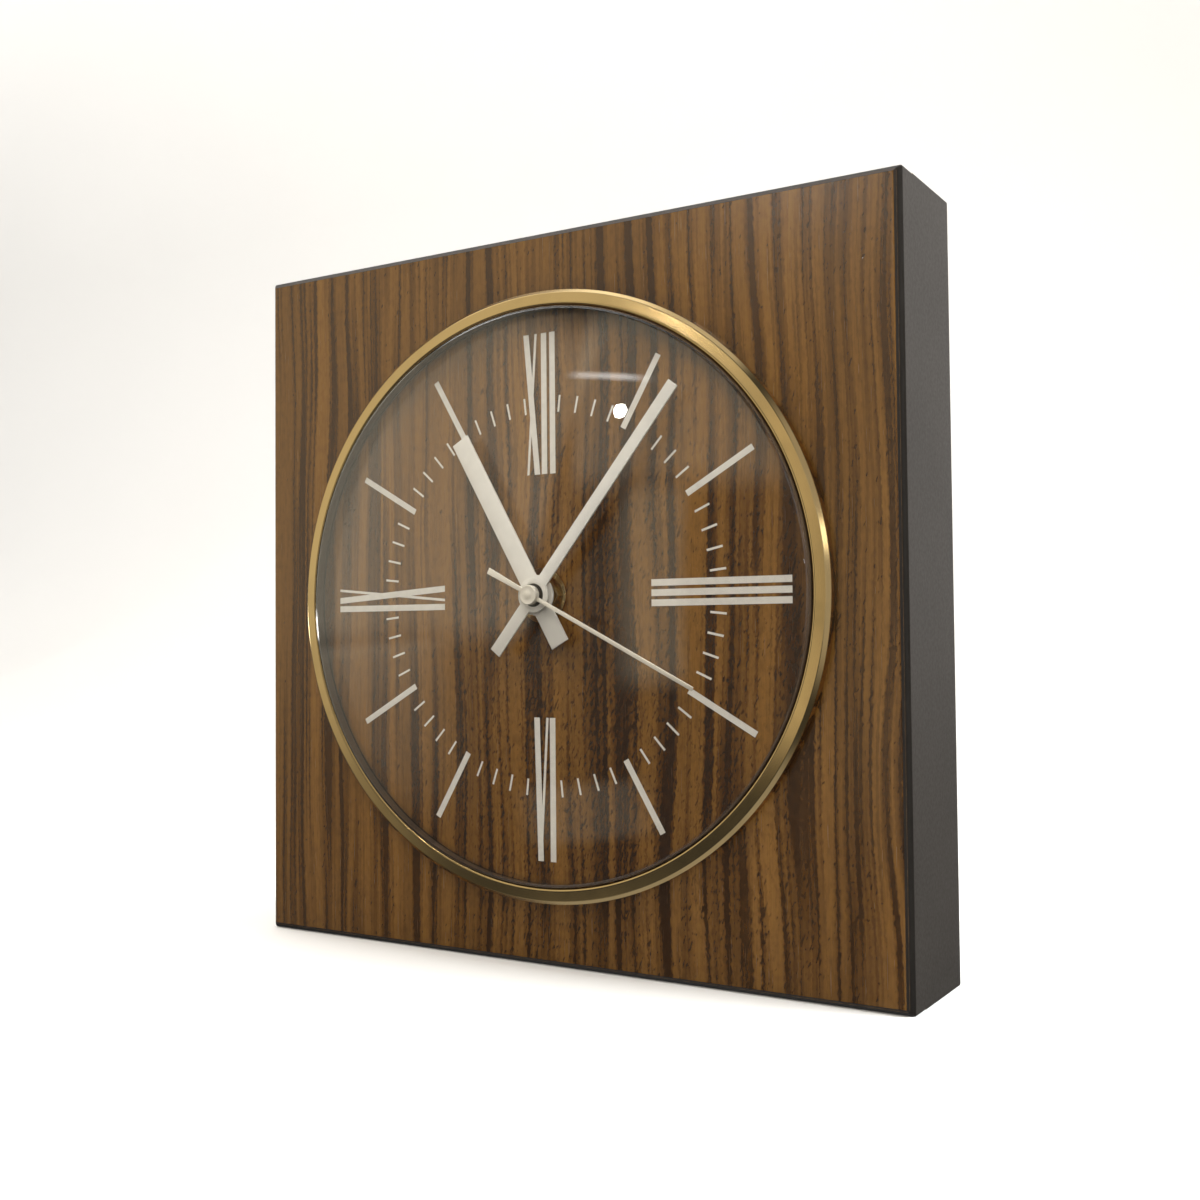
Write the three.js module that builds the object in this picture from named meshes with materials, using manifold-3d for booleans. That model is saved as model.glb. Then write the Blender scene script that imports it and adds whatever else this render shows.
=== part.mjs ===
// Square wooden wall clock with a round domed lens and a battery movement.
// Millimetres. +Z is up, the dial looks towards -Y and the wall is on the +Y side.
// The origin is the middle of the clock's foot, halfway between lens and wall.
// The pieces are drawn round the dial axis: x to the right, z up, and y counted
// from the face of the veneer towards the wall, so what stands proud has a negative y.
import * as THREE from "three";
import { mergeVertices } from "three/addons/utils/BufferGeometryUtils.js";
import Module from "manifold-3d";

const wasm = await Module();
wasm.setup();

const DEGREE = Math.PI / 180;

// Wooden case
const CASE_SIZE = 203;
const CASE_DEPTH = 39.6;
const FRONT_CHAMFER = 1.7;
const VENEER_THICKNESS = 0.6;
const BOARD_THICKNESS = 9;
const RAIL_THICKNESS = 12;
const BACK_EDGE_BREAK = 1.2;
const GLUE_LINE = 0.05;

// Brass bezel, a folded channel held by tabs that are bent over behind the board
const BEZEL_RADIUS = 84.05;
const BEZEL_WIDTH = 4.45;
const BEZEL_WALL = 0.8;
const BEZEL_HEIGHT = 4;
const BEZEL_SHOULDER = 1.05;
const BEZEL_LIP_ROUND = 0.4;
const TAB_COUNT = 4;
const TAB_START = 45 * DEGREE;
const TAB_WIDTH = 6;
const TAB_THICKNESS = 0.5;
const TAB_FOLD = 5;
const TAB_CLEARANCE = 0.3;

// Domed lens and its gasket
const LENS_HEIGHT = 14.5;
const LENS_WALL = 0.9;
const LENS_SHOULDER = 3;
const LENS_SHOULDER_SWEEP = 80 * DEGREE;
const LENS_STRAIGHT = 4.6;
const LENS_CLEARANCE = 0.2;
const GASKET_HEIGHT = 1.8;
const GASKET_CLEARANCE = 0.15;

// Hands, with the angles that they show, clockwise from twelve
const HOUR_ANGLE = 330.5 * DEGREE;
const HOUR_LENGTH = 51.2;
const HOUR_TAIL = 15.5;
const HOUR_WIDTH = 5.8;
const HOUR_HUB_RADIUS = 5.6;
const HOUR_COLLAR_RADIUS = 4.2;
const MINUTE_ANGLE = 38.7 * DEGREE;
const MINUTE_LENGTH = 69;
const MINUTE_TAIL = 20.2;
const MINUTE_TIP_WIDTH = 3.2;
const MINUTE_TAIL_WIDTH = 3.6;
const MINUTE_HUB_RADIUS = 4.8;
const MINUTE_COLLAR_RADIUS = 3;
const SECOND_ANGLE = 117.2 * DEGREE;
const SECOND_LENGTH = 54.5;
const SECOND_TAIL = 15.5;
const SECOND_WIDTH = 1.1;
const SECOND_TAIL_WIDTH = 1.8;
const SECOND_BOSS_RADIUS = 2.8;
const SECOND_BOSS_HEIGHT = 1.3;
const SECOND_SOCKET_RADIUS = 1.5;
const SECOND_SOCKET_LENGTH = 0.6;
const SECOND_SOCKET_ROOF = 0.5;
const HAND_THICKNESS = 0.5;
const HAND_GAP = 0.35;
const HAND_COLLAR_LENGTH = 0.6;
const HAND_FIT = 0.1;

// Threaded bush, its nut and its washers
const BUSH_RADIUS = 4;
const BUSH_WALL = 1.05;
const BUSH_PROUD = 2.5;
const BUSH_CLEARANCE = 0.3;
const BUSH_FLANGE_RADIUS = 6.5;
const BUSH_FLANGE_THICKNESS = 0.8;
const DIAL_WASHER_RADIUS = 7.7;
const DIAL_WASHER_THICKNESS = 0.7;
const DIAL_NUT_RADIUS = 6.2;
const DIAL_NUT_THICKNESS = 1.5;
const DIAL_NUT_SIDES = 6;
const RUBBER_WASHER_RADIUS = 9;
const RUBBER_WASHER_THICKNESS = 1;

// Nested arbors at the middle
const RUNNING_GAP = 0.2;
const PIPE_WALL = 0.7;
const CANNON_WALL = 0.85;
const SECOND_ARBOR_RADIUS = 0.75;

// Movement housing
const MOVEMENT_WIDTH = 56;
const MOVEMENT_TOP = 24;
const MOVEMENT_BOTTOM = -32;
const MOVEMENT_DEPTH = 15.2;
const MOVEMENT_WALL = 1.6;
const MOVEMENT_CORNER = 3;
const COVER_THICKNESS = 1.6;
const POST_RADIUS = 1.4;
const SCREW_POST_RADIUS = 2.8;
const SCREW_POST_SINK = 0.9;

// Wheels, from the front of the movement to its back
const WHEEL_THICKNESS = 1;
const WHEEL_PITCH = 1.65;
const FIRST_WHEEL_DEPTH = 2;
const PINION_OVERHANG = 0.15;
const ARBOR_RADIUS = 0.5;
const PIVOT_CLEARANCE = 0.12;
const PIVOT_INSET = 0.4;
const BEARING_BOSS_RADIUS = 1.5;
const BEARING_BOSS_LENGTH = 3;
const STUD_RADIUS = 0.6;

// Gear train: teeth, centre distances and the directions of the axes from the centre
const SECOND_PINION_TEETH = 8;
const THIRD_WHEEL_TEETH = 60;
const THIRD_PINION_TEETH = 8;
const CENTRE_WHEEL_TEETH = 64;
const INTERMEDIATE_PINION_TEETH = 8;
const SECOND_WHEEL_TEETH = 40;
const ROTOR_PINION_TEETH = 8;
const INTERMEDIATE_WHEEL_TEETH = 48;
const CANNON_PINION_TEETH = 12;
const MINUTE_WHEEL_TEETH = 36;
const MINUTE_PINION_TEETH = 10;
const HOUR_WHEEL_TEETH = 40;
const THIRD_DISTANCE = 9.6;
const THIRD_DIRECTION = 160 * DEGREE;
const INTERMEDIATE_DISTANCE = 9.9;
const INTERMEDIATE_DIRECTION = 20 * DEGREE;
const ROTOR_DISTANCE = 7.7;
const ROTOR_DIRECTION = 90 * DEGREE;
const MOTION_DISTANCE = 7.5;
const MOTION_DIRECTION = -30 * DEGREE;

// Tooth forms: heights in modules, widths as shares of the tooth pitch
const WHEEL_TOOTH = { tip: 0.85, root: 1, tipShare: 0.22, rootShare: 0.64 };
const PINION_LEAF = { tip: 0.7, root: 1.2, tipShare: 0.24, rootShare: 0.44 };

// Stepping motor
const MAGNET_RADIUS = 2.2;
const MAGNET_LENGTH = 2.2;
const STATOR_THICKNESS = 1;
const STATOR_DEPTH = 6.6;
const STATOR_GAP = 0.5;
const STATOR_RING_WIDTH = 1.9;
const STATOR_BAR_WIDTH = 4;
const STATOR_ARM_WIDTH = 3;
const STATOR_ARM_SPACING = 15;
const COIL_RADIUS = 2.8;
const COIL_CORE_WIDTH = 2.6;
const COIL_FLANGE_THICKNESS = 0.8;
const COIL_FLANGE_STEP = 0.35;
const COIL_CLEARANCE = 0.2;
const COIL_WALL_GAP = 0.4;

// Circuit board and quartz can
const CIRCUIT_WIDTH = 18.5;
const CIRCUIT_HEIGHT = 8.6;
const CIRCUIT_THICKNESS = 1;
const CIRCUIT_DEPTH = 3;
const CIRCUIT_SIDE_GAP = 0.4;
const CIRCUIT_TOP_GAP = 0.6;
const CIRCUIT_POST_INSET = 4;
const QUARTZ_RADIUS = 1;
const QUARTZ_LENGTH = 6;

// Battery cell and contacts
const CELL_RADIUS = 7.1;
const CELL_LENGTH = 49.2;
const CELL_NUB_RADIUS = 2.6;
const CELL_NUB_LENGTH = 1.2;
const CELL_EDGE = 0.6;
const CELL_SEAT_GAP = 0.3;
const BAY_CLEARANCE = 0.8;
const CONTACT_THICKNESS = 0.4;
const CONTACT_GAP = 0.35;
const CONTACT_WIDTH = 8;
const CONTACT_FOOT = 4;
const CONTACT_TOP_GAP = 2;

// Setting knob
const SET_SHAFT_RADIUS = 1.3;
const SET_PIVOT_RADIUS = 0.8;
const KNOB_RADIUS = 6.5;
const KNOB_LENGTH = 4.2;
const KNOB_FLUTES = 18;
const KNOB_FLUTE_DEPTH = 0.5;
const KNOB_STANDOFF = 0.35;
const KNOB_ROOF = 0.8;
const KNOB_FIT = 0.1;

// Keyhole hanger, let into the back of the top rail
const HANGER_WIDTH = 54;
const HANGER_THICKNESS = 1.5;
const HANGER_RECESS = 3;
const HANGER_ON_RAIL = 8.5;
const HANGER_BELOW_RAIL = 18;
const HANGER_CORNER = 3;
const HANGER_CLEARANCE = 0.3;
const KEYHOLE_RADIUS = 4.6;
const KEYHOLE_SLOT = 5.2;
const KEYHOLE_RISE = 7;
const KEYHOLE_MARGIN = 2;
const HANGER_SCREW_HOLE = 1.9;
const HANGER_SCREW_INSET = 7;

// Facets
const RING_STEPS = 56;
const TUBE_STEPS = 18;
const ARBOR_STEPS = 12;
const CORNER_STEPS = 3;
const DOME_STEPS = 4;
const CUT_MARGIN = 1;

// Places that follow from the sizes above
const CASE_HALF = CASE_SIZE / 2;
const BOARD_FRONT = VENEER_THICKNESS + GLUE_LINE;
const BOARD_BACK = BOARD_FRONT + BOARD_THICKNESS;
const RAIL_FRONT = BOARD_BACK + GLUE_LINE;
const RAIL_INSIDE = CASE_HALF - RAIL_THICKNESS;
const MOVEMENT_FRONT = BOARD_BACK + RUBBER_WASHER_THICKNESS + 2 * GLUE_LINE;
const MOVEMENT_FLOOR = MOVEMENT_FRONT + MOVEMENT_WALL;
const MOVEMENT_RIM = MOVEMENT_FRONT + MOVEMENT_DEPTH;
const COVER_FRONT = MOVEMENT_RIM + GLUE_LINE;
const COVER_BACK = COVER_FRONT + COVER_THICKNESS;
const MOVEMENT_HALF = MOVEMENT_WIDTH / 2;
const BAY_HEIGHT = 2 * (CELL_RADIUS + BAY_CLEARANCE);
const BAY_BOTTOM = MOVEMENT_BOTTOM + MOVEMENT_WALL;
const BAY_TOP = BAY_BOTTOM + BAY_HEIGHT;
const WELL_BOTTOM = BAY_TOP + MOVEMENT_WALL;
const WELL_TOP = MOVEMENT_TOP - MOVEMENT_WALL;
const WELL_HALF = MOVEMENT_HALF - MOVEMENT_WALL;

const BUSH_BORE = BUSH_RADIUS - BUSH_WALL;
const PIPE_RADIUS = BUSH_BORE - RUNNING_GAP;
const PIPE_BORE = PIPE_RADIUS - PIPE_WALL;
const CANNON_RADIUS = PIPE_BORE - RUNNING_GAP;
const CANNON_BORE = CANNON_RADIUS - CANNON_WALL;

// Front faces of the hands, stacked from the end of the bush
const HOUR_BACK = -(BUSH_PROUD + HAND_GAP + HAND_COLLAR_LENGTH);
const HOUR_FRONT = HOUR_BACK - HAND_THICKNESS;
const MINUTE_BACK = HOUR_FRONT - HAND_GAP - HAND_COLLAR_LENGTH;
const MINUTE_FRONT = MINUTE_BACK - HAND_THICKNESS;
const SECOND_BACK = MINUTE_FRONT - HAND_GAP - SECOND_SOCKET_LENGTH;
const SECOND_FRONT = SECOND_BACK - HAND_THICKNESS;
const SECOND_BOSS_FRONT = SECOND_FRONT - SECOND_BOSS_HEIGHT;

// Depth of each layer of wheels, counted from the dial side
const layerFront = (layer) => MOVEMENT_FRONT + FIRST_WHEEL_DEPTH + layer * WHEEL_PITCH;
const layerBack = (layer) => layerFront(layer) + WHEEL_THICKNESS;
const HOUR_LAYER = 0;
const MINUTE_LAYER = 1;
const CENTRE_LAYER = 2;
const THIRD_LAYER = 3;
const SECOND_LAYER = 4;
const INTERMEDIATE_LAYER = 5;

// Axes of the train in the plane of the dial
const polar = (distance, direction) => [distance * Math.cos(direction), distance * Math.sin(direction)];
const moved = ([x, z], [dx, dz]) => [x + dx, z + dz];
const CENTRE = [0, 0];
const THIRD_AXIS = polar(THIRD_DISTANCE, THIRD_DIRECTION);
const INTERMEDIATE_AXIS = polar(INTERMEDIATE_DISTANCE, INTERMEDIATE_DIRECTION);
const ROTOR_AXIS = moved(INTERMEDIATE_AXIS, polar(ROTOR_DISTANCE, ROTOR_DIRECTION));
const MOTION_AXIS = polar(MOTION_DISTANCE, MOTION_DIRECTION);
const SETTING_AXIS = moved(MOTION_AXIS, polar(MOTION_DISTANCE, MOTION_DIRECTION));
const BEARING_AXES = [CENTRE, THIRD_AXIS, INTERMEDIATE_AXIS, ROTOR_AXIS];

// A tooth module follows from the centre distance and the two tooth counts.
const moduleFor = (distance, teeth, mate) => (2 * distance) / (teeth + mate);
const THIRD_MODULE = moduleFor(THIRD_DISTANCE, SECOND_PINION_TEETH, THIRD_WHEEL_TEETH);
const CENTRE_MODULE = moduleFor(THIRD_DISTANCE, THIRD_PINION_TEETH, CENTRE_WHEEL_TEETH);
const SECOND_MODULE = moduleFor(INTERMEDIATE_DISTANCE, INTERMEDIATE_PINION_TEETH, SECOND_WHEEL_TEETH);
const ROTOR_MODULE = moduleFor(ROTOR_DISTANCE, ROTOR_PINION_TEETH, INTERMEDIATE_WHEEL_TEETH);
const MINUTE_MODULE = moduleFor(MOTION_DISTANCE, CANNON_PINION_TEETH, MINUTE_WHEEL_TEETH);
const HOUR_MODULE = moduleFor(MOTION_DISTANCE, MINUTE_PINION_TEETH, HOUR_WHEEL_TEETH);

// The angle at which a gear puts a gap in front of the tooth of the gear that drives it.
function meshPhase(teeth, drivingTeeth, drivingPhase, direction) {
  const turned = (drivingTeeth / teeth) * (drivingPhase - direction);
  return direction + Math.PI + Math.PI / teeth - turned;
}
const THIRD_PHASE = meshPhase(THIRD_WHEEL_TEETH, SECOND_PINION_TEETH, 0, THIRD_DIRECTION);
const BACK_TO_CENTRE = THIRD_DIRECTION + Math.PI;
const CENTRE_PHASE = meshPhase(CENTRE_WHEEL_TEETH, THIRD_PINION_TEETH, 0, BACK_TO_CENTRE);
const INTERMEDIATE_PHASE = meshPhase(INTERMEDIATE_PINION_TEETH, SECOND_WHEEL_TEETH, 0, INTERMEDIATE_DIRECTION);
const ROTOR_PHASE = meshPhase(ROTOR_PINION_TEETH, INTERMEDIATE_WHEEL_TEETH, 0, ROTOR_DIRECTION);
const MINUTE_PHASE = meshPhase(MINUTE_WHEEL_TEETH, CANNON_PINION_TEETH, 0, MOTION_DIRECTION);
const HOUR_PHASE = meshPhase(HOUR_WHEEL_TEETH, MINUTE_PINION_TEETH, 0, MOTION_DIRECTION + Math.PI);
const SETTING_PHASE = meshPhase(CANNON_PINION_TEETH, MINUTE_WHEEL_TEETH, MINUTE_PHASE, MOTION_DIRECTION);

// Materials
const finish = (color, roughness, metalness) => new THREE.MeshStandardMaterial({ color, roughness, metalness });
const VENEER = finish(0x7d5c3c, 0.45, 0);
const BOARD = finish(0x8d7350, 0.8, 0);
const PAINTED_WOOD = finish(0x5a5148, 0.5, 0);
const BRASS = finish(0xc5a34f, 0.25, 1);
const CLEAR = new THREE.MeshStandardMaterial({
  color: 0xffffff,
  roughness: 0.05,
  metalness: 0,
  transparent: true,
  opacity: 0.2,
});
const DARK_RUBBER = finish(0x26221f, 0.8, 0);
const WHITE_PAINT = finish(0xdcd5c8, 0.5, 0);
const CREAM_PAINT = finish(0xd9cdb2, 0.45, 0);
const STEEL = finish(0xa9a9a6, 0.35, 1);
const BLACK_PLASTIC = finish(0x1f1f20, 0.5, 0);
const WHITE_PLASTIC = finish(0xe6e3da, 0.45, 0);
const COPPER = finish(0xb0653a, 0.35, 1);
const CIRCUIT_GREEN = finish(0x2f5a35, 0.5, 0);
const CELL_JACKET = finish(0x3b4a5c, 0.35, 0.2);

// A closed geometry as a solid that can be joined and cut
function toSolid(geometry) {
  const bare = new THREE.BufferGeometry();
  bare.setAttribute("position", geometry.getAttribute("position"));
  bare.setIndex(geometry.getIndex());
  const merged = mergeVertices(bare);
  const index = merged.getIndex().array;
  const corners = [];
  for (let i = 0; i < index.length; i += 3) {
    const [a, b, c] = index.slice(i, i + 3);
    if (a !== b && b !== c && c !== a) corners.push(a, b, c);
  }
  const mesh = new wasm.Mesh({
    numProp: 3,
    vertProperties: merged.getAttribute("position").array,
    triVerts: Uint32Array.from(corners),
  });
  return new wasm.Manifold(mesh);
}

// A named piece made of a solid
function piece(name, solid, material) {
  const { vertProperties, triVerts, numProp } = solid.getMesh();
  const positions = new Float32Array((vertProperties.length / numProp) * 3);
  for (let i = 0; i < positions.length / 3; i += 1) {
    positions.set(vertProperties.subarray(i * numProp, i * numProp + 3), i * 3);
  }
  const geometry = new THREE.BufferGeometry();
  geometry.setAttribute("position", new THREE.BufferAttribute(positions, 3));
  geometry.setIndex(new THREE.BufferAttribute(triVerts, 1));
  geometry.computeVertexNormals();
  const mesh = new THREE.Mesh(geometry, material);
  mesh.name = name;
  return mesh;
}

// A piece drawn along y round the origin, laid along x with its middle at a place
function laid(mesh, turn, x, y, z) {
  mesh.rotation.z = turn;
  mesh.position.set(x, y, z);
  return mesh;
}

// A closed profile of [radius, y] points turned round the dial axis
function turned(profile, steps, start = 0) {
  const points = profile.map(([radius, y]) => new THREE.Vector2(radius, y));
  if (THREE.ShapeUtils.area(points) < 0) points.reverse();
  points.push(points[0].clone());
  return toSolid(new THREE.LatheGeometry(points, steps, start));
}

// A closed profile of [half width, y] points carried round a square
function squareTurned(profile) {
  return turned(profile.map(([half, y]) => [half * Math.SQRT2, y]), 4, Math.PI / 4);
}

// A tube round the dial axis
function tube(outer, bore, front, back, steps = TUBE_STEPS) {
  return turned([[bore, front], [outer, front], [outer, back], [bore, back]], steps);
}

const vectors = (points) => points.map(([x, z]) => new THREE.Vector2(x, z));

// A flat outline of [x, z] points, with its holes, between two depths
function plate(outline, front, back, holes = []) {
  const shape = new THREE.Shape(vectors(outline));
  holes.forEach((hole) => shape.holes.push(new THREE.Path(vectors(hole))));
  const geometry = new THREE.ExtrudeGeometry(shape, { depth: back - front, bevelEnabled: false });
  geometry.rotateX(Math.PI / 2);
  geometry.translate(0, back, 0);
  return toSolid(geometry);
}

// Points along an arc, both ends included
function arc([x, z], radius, from, to, steps) {
  const points = [];
  for (let i = 0; i <= steps; i += 1) {
    const angle = from + ((to - from) * i) / steps;
    points.push([x + radius * Math.cos(angle), z + radius * Math.sin(angle)]);
  }
  return points;
}

const circle = (axis, radius, steps) => arc(axis, radius, 0, 2 * Math.PI, steps).slice(0, -1);
const disc = (axis, radius, front, back, steps = TUBE_STEPS) => plate(circle(axis, radius, steps), front, back);

function rectangle(left, bottom, right, top) {
  return [[left, bottom], [right, bottom], [right, top], [left, top]];
}

function roundedRectangle(left, bottom, right, top, radius) {
  const quarter = Math.PI / 2;
  const centres = [
    [right - radius, top - radius],
    [left + radius, top - radius],
    [left + radius, bottom + radius],
    [right - radius, bottom + radius],
  ];
  return centres.flatMap((centre, i) => arc(centre, radius, i * quarter, (i + 1) * quarter, CORNER_STEPS));
}

const joined = (solids) => solids.reduce((whole, solid) => whole.add(solid));
const cut = (solid, tools) => tools.reduce((rest, tool) => rest.subtract(tool), solid);

// A gear's outline: four points for each tooth
function gearOutline([x, z], teeth, module, phase, form) {
  const pitchRadius = (teeth * module) / 2;
  const tip = pitchRadius + form.tip * module;
  const root = pitchRadius - form.root * module;
  const corners = [[root, -form.rootShare], [tip, -form.tipShare], [tip, form.tipShare], [root, form.rootShare]];
  const points = [];
  for (let tooth = 0; tooth < teeth; tooth += 1) {
    corners.forEach(([radius, share]) => {
      const angle = phase + ((tooth + share / 2) * 2 * Math.PI) / teeth;
      points.push([x + radius * Math.cos(angle), z + radius * Math.sin(angle)]);
    });
  }
  return points;
}

function wheelAt(axis, teeth, module, phase, layer) {
  const outline = gearOutline(axis, teeth, module, phase, WHEEL_TOOTH);
  return plate(outline, layerFront(layer), layerBack(layer));
}

// A pinion is a little longer than the wheel that it meets, and may reach back to its own wheel.
function pinionAt(axis, teeth, module, phase, layer, back = layerBack(layer) + PINION_OVERHANG) {
  const outline = gearOutline(axis, teeth, module, phase, PINION_LEAF);
  return plate(outline, layerFront(layer) - PINION_OVERHANG, back);
}

// An arbor from its pivot in the movement's floor to its bearing in the cover
const ARBOR_FRONT = MOVEMENT_FRONT + PIVOT_INSET;
const BEARING_FRONT = COVER_FRONT - BEARING_BOSS_LENGTH;
const ARBOR_BACK = COVER_FRONT - PIVOT_INSET;
const arborAt = (axis) => disc(axis, ARBOR_RADIUS, ARBOR_FRONT, ARBOR_BACK, ARBOR_STEPS);

// Bezel tabs: an outline of [radius, y] points, extruded across the tab and turned into place
function tabBlock(outline, width, angle) {
  const shape = new THREE.Shape(vectors(outline));
  const geometry = new THREE.ExtrudeGeometry(shape, { depth: width, bevelEnabled: false });
  geometry.translate(0, 0, -width / 2);
  geometry.rotateY(angle);
  return toSolid(geometry);
}

const tabAngles = Array.from({ length: TAB_COUNT }, (_, i) => TAB_START + (i * 2 * Math.PI) / TAB_COUNT);
const TAB_OUTSIDE = BEZEL_RADIUS - (BEZEL_WALL - TAB_THICKNESS) / 2;
const TAB_INSIDE = TAB_OUTSIDE - TAB_THICKNESS;

function tabSlots() {
  const outline = rectangle(
    TAB_INSIDE - TAB_CLEARANCE,
    -CUT_MARGIN,
    TAB_OUTSIDE + GLUE_LINE,
    BOARD_BACK + CUT_MARGIN,
  );
  return tabAngles.map((angle) => tabBlock(outline, TAB_WIDTH + 2 * TAB_CLEARANCE, angle));
}

// The veneer carries the dial and shares the chamfer of the board behind it.
const chamferedHalf = (y) => CASE_HALF - FRONT_CHAMFER + y;
const BUSH_HOLE = BUSH_RADIUS + BUSH_CLEARANCE;
const bushHole = () => disc(CENTRE, BUSH_HOLE, -CUT_MARGIN, BOARD_BACK + CUT_MARGIN);

function veneerFace() {
  const sheet = squareTurned([
    [0, 0],
    [chamferedHalf(0), 0],
    [chamferedHalf(VENEER_THICKNESS), VENEER_THICKNESS],
    [0, VENEER_THICKNESS],
  ]);
  return cut(sheet, [bushHole(), ...tabSlots()]);
}

function frontBoard() {
  const board = squareTurned([
    [0, BOARD_FRONT],
    [chamferedHalf(BOARD_FRONT), BOARD_FRONT],
    [CASE_HALF, FRONT_CHAMFER],
    [CASE_HALF, BOARD_BACK],
    [0, BOARD_BACK],
  ]);
  return cut(board, [bushHole(), ...tabSlots()]);
}

// A rail along the top: its section drawn out both ways to the mitres.
// The other rails are this one turned.
function mitredRail() {
  const section = [
    [0, RAIL_FRONT],
    [RAIL_THICKNESS, RAIL_FRONT],
    [RAIL_THICKNESS, CASE_DEPTH],
    [BACK_EDGE_BREAK, CASE_DEPTH],
    [0, CASE_DEPTH - BACK_EDGE_BREAK],
  ];
  const shape = new THREE.Shape(vectors(section));
  const geometry = new THREE.ExtrudeGeometry(shape, { depth: 1, bevelEnabled: false });
  const corners = geometry.getAttribute("position");
  for (let i = 0; i < corners.count; i += 1) {
    const across = CASE_HALF - corners.getX(i);
    const side = corners.getZ(i) > 0.5 ? 1 : -1;
    corners.setXYZ(i, side * (across - GLUE_LINE), corners.getY(i), across);
  }
  return toSolid(geometry);
}

const HANGER_FRONT = CASE_DEPTH - HANGER_RECESS + GLUE_LINE;
const HANGER_TOP = RAIL_INSIDE + HANGER_ON_RAIL;
const HANGER_BOTTOM = RAIL_INSIDE - HANGER_BELOW_RAIL;

function topRail() {
  const half = HANGER_WIDTH / 2 + HANGER_CLEARANCE;
  const opening = rectangle(-half, RAIL_INSIDE - CUT_MARGIN, half, HANGER_TOP + HANGER_CLEARANCE);
  const recess = plate(opening, CASE_DEPTH - HANGER_RECESS, CASE_DEPTH + CUT_MARGIN);
  return mitredRail().subtract(recess);
}

function hangerPlate() {
  const half = HANGER_WIDTH / 2;
  const outline = roundedRectangle(-half, HANGER_BOTTOM, half, HANGER_TOP, HANGER_CORNER);
  const entry = [0, HANGER_BOTTOM + KEYHOLE_MARGIN + KEYHOLE_RADIUS];
  const seat = [0, entry[1] + KEYHOLE_RISE];
  const neck = Math.asin(KEYHOLE_SLOT / 2 / KEYHOLE_RADIUS);
  const up = Math.PI / 2;
  const keyhole = [
    ...arc(entry, KEYHOLE_RADIUS, up + neck, up - neck + 2 * Math.PI, TUBE_STEPS),
    ...arc(seat, KEYHOLE_SLOT / 2, 0, Math.PI, ARBOR_STEPS),
  ];
  const screwHeight = (RAIL_INSIDE + HANGER_TOP) / 2;
  const screwHoles = [-1, 1].map((side) =>
    circle([side * (half - HANGER_SCREW_INSET), screwHeight], HANGER_SCREW_HOLE, ARBOR_STEPS),
  );
  return plate(outline, HANGER_FRONT, HANGER_FRONT + HANGER_THICKNESS, [keyhole, ...screwHoles]);
}

// The bezel is a folded channel: outer wall, chamfered shoulder, flat face and rounded lip.
const BEZEL_INSIDE = BEZEL_RADIUS - BEZEL_WALL;
const LIP_RADIUS = BEZEL_RADIUS - BEZEL_WIDTH;

function bezel() {
  const lipCentre = [LIP_RADIUS + BEZEL_LIP_ROUND, -(BEZEL_HEIGHT - BEZEL_LIP_ROUND)];
  const lip = arc(lipCentre, BEZEL_LIP_ROUND, 1.5 * Math.PI, 0.5 * Math.PI, CORNER_STEPS);
  const ring = turned(
    [
      [BEZEL_INSIDE, -GLUE_LINE],
      [BEZEL_RADIUS, -GLUE_LINE],
      [BEZEL_RADIUS, -(BEZEL_HEIGHT - BEZEL_SHOULDER)],
      [BEZEL_RADIUS - BEZEL_SHOULDER, -BEZEL_HEIGHT],
      ...lip,
      [BEZEL_INSIDE, -(BEZEL_HEIGHT - BEZEL_WALL)],
    ],
    RING_STEPS,
  );
  const foldFront = BOARD_BACK + GLUE_LINE;
  const tab = [
    [TAB_INSIDE, -BEZEL_HEIGHT / 2],
    [TAB_OUTSIDE, -BEZEL_HEIGHT / 2],
    [TAB_OUTSIDE, foldFront],
    [TAB_OUTSIDE + TAB_FOLD, foldFront],
    [TAB_OUTSIDE + TAB_FOLD, foldFront + TAB_THICKNESS],
    [TAB_INSIDE, foldFront + TAB_THICKNESS],
  ];
  return joined([ring, ...tabAngles.map((angle) => tabBlock(tab, TAB_WIDTH, angle))]);
}

// The lens: a flange under the bezel, a straight rim, a rounded shoulder and a shallow dome
const FLANGE_RADIUS = BEZEL_INSIDE - LENS_CLEARANCE;
const FLANGE_TOP = LENS_CLEARANCE + LENS_WALL;
const LENS_RIM = LIP_RADIUS - LENS_CLEARANCE;

function lensSkin(shoulder, apex) {
  const centre = [LENS_RIM - LENS_SHOULDER, LENS_STRAIGHT];
  const round = arc(centre, shoulder, 0, LENS_SHOULDER_SWEEP, CORNER_STEPS);
  const [edge, edgeHeight] = round[round.length - 1];
  const rise = apex - edgeHeight;
  const radius = (edge * edge + rise * rise) / (2 * rise);
  const points = round.map(([r, height]) => [r, -height]);
  for (let step = 1; step <= DOME_STEPS; step += 1) {
    const r = edge * (1 - step / DOME_STEPS);
    const height = apex - radius + Math.sqrt(radius * radius - r * r);
    points.push([r, -height]);
  }
  return points;
}

function lens() {
  const outside = lensSkin(LENS_SHOULDER, LENS_HEIGHT);
  const inside = lensSkin(LENS_SHOULDER - LENS_WALL, LENS_HEIGHT - LENS_WALL);
  return turned(
    [
      [LENS_RIM - LENS_WALL, -LENS_CLEARANCE],
      [FLANGE_RADIUS, -LENS_CLEARANCE],
      [FLANGE_RADIUS, -FLANGE_TOP],
      [LENS_RIM, -FLANGE_TOP],
      ...outside,
      ...inside.reverse(),
    ],
    RING_STEPS,
  );
}

function lensGasket() {
  const back = FLANGE_TOP + GASKET_CLEARANCE;
  return tube(
    BEZEL_INSIDE - GASKET_CLEARANCE,
    LIP_RADIUS + GASKET_CLEARANCE,
    -(back + GASKET_HEIGHT),
    -back,
    RING_STEPS,
  );
}

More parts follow.
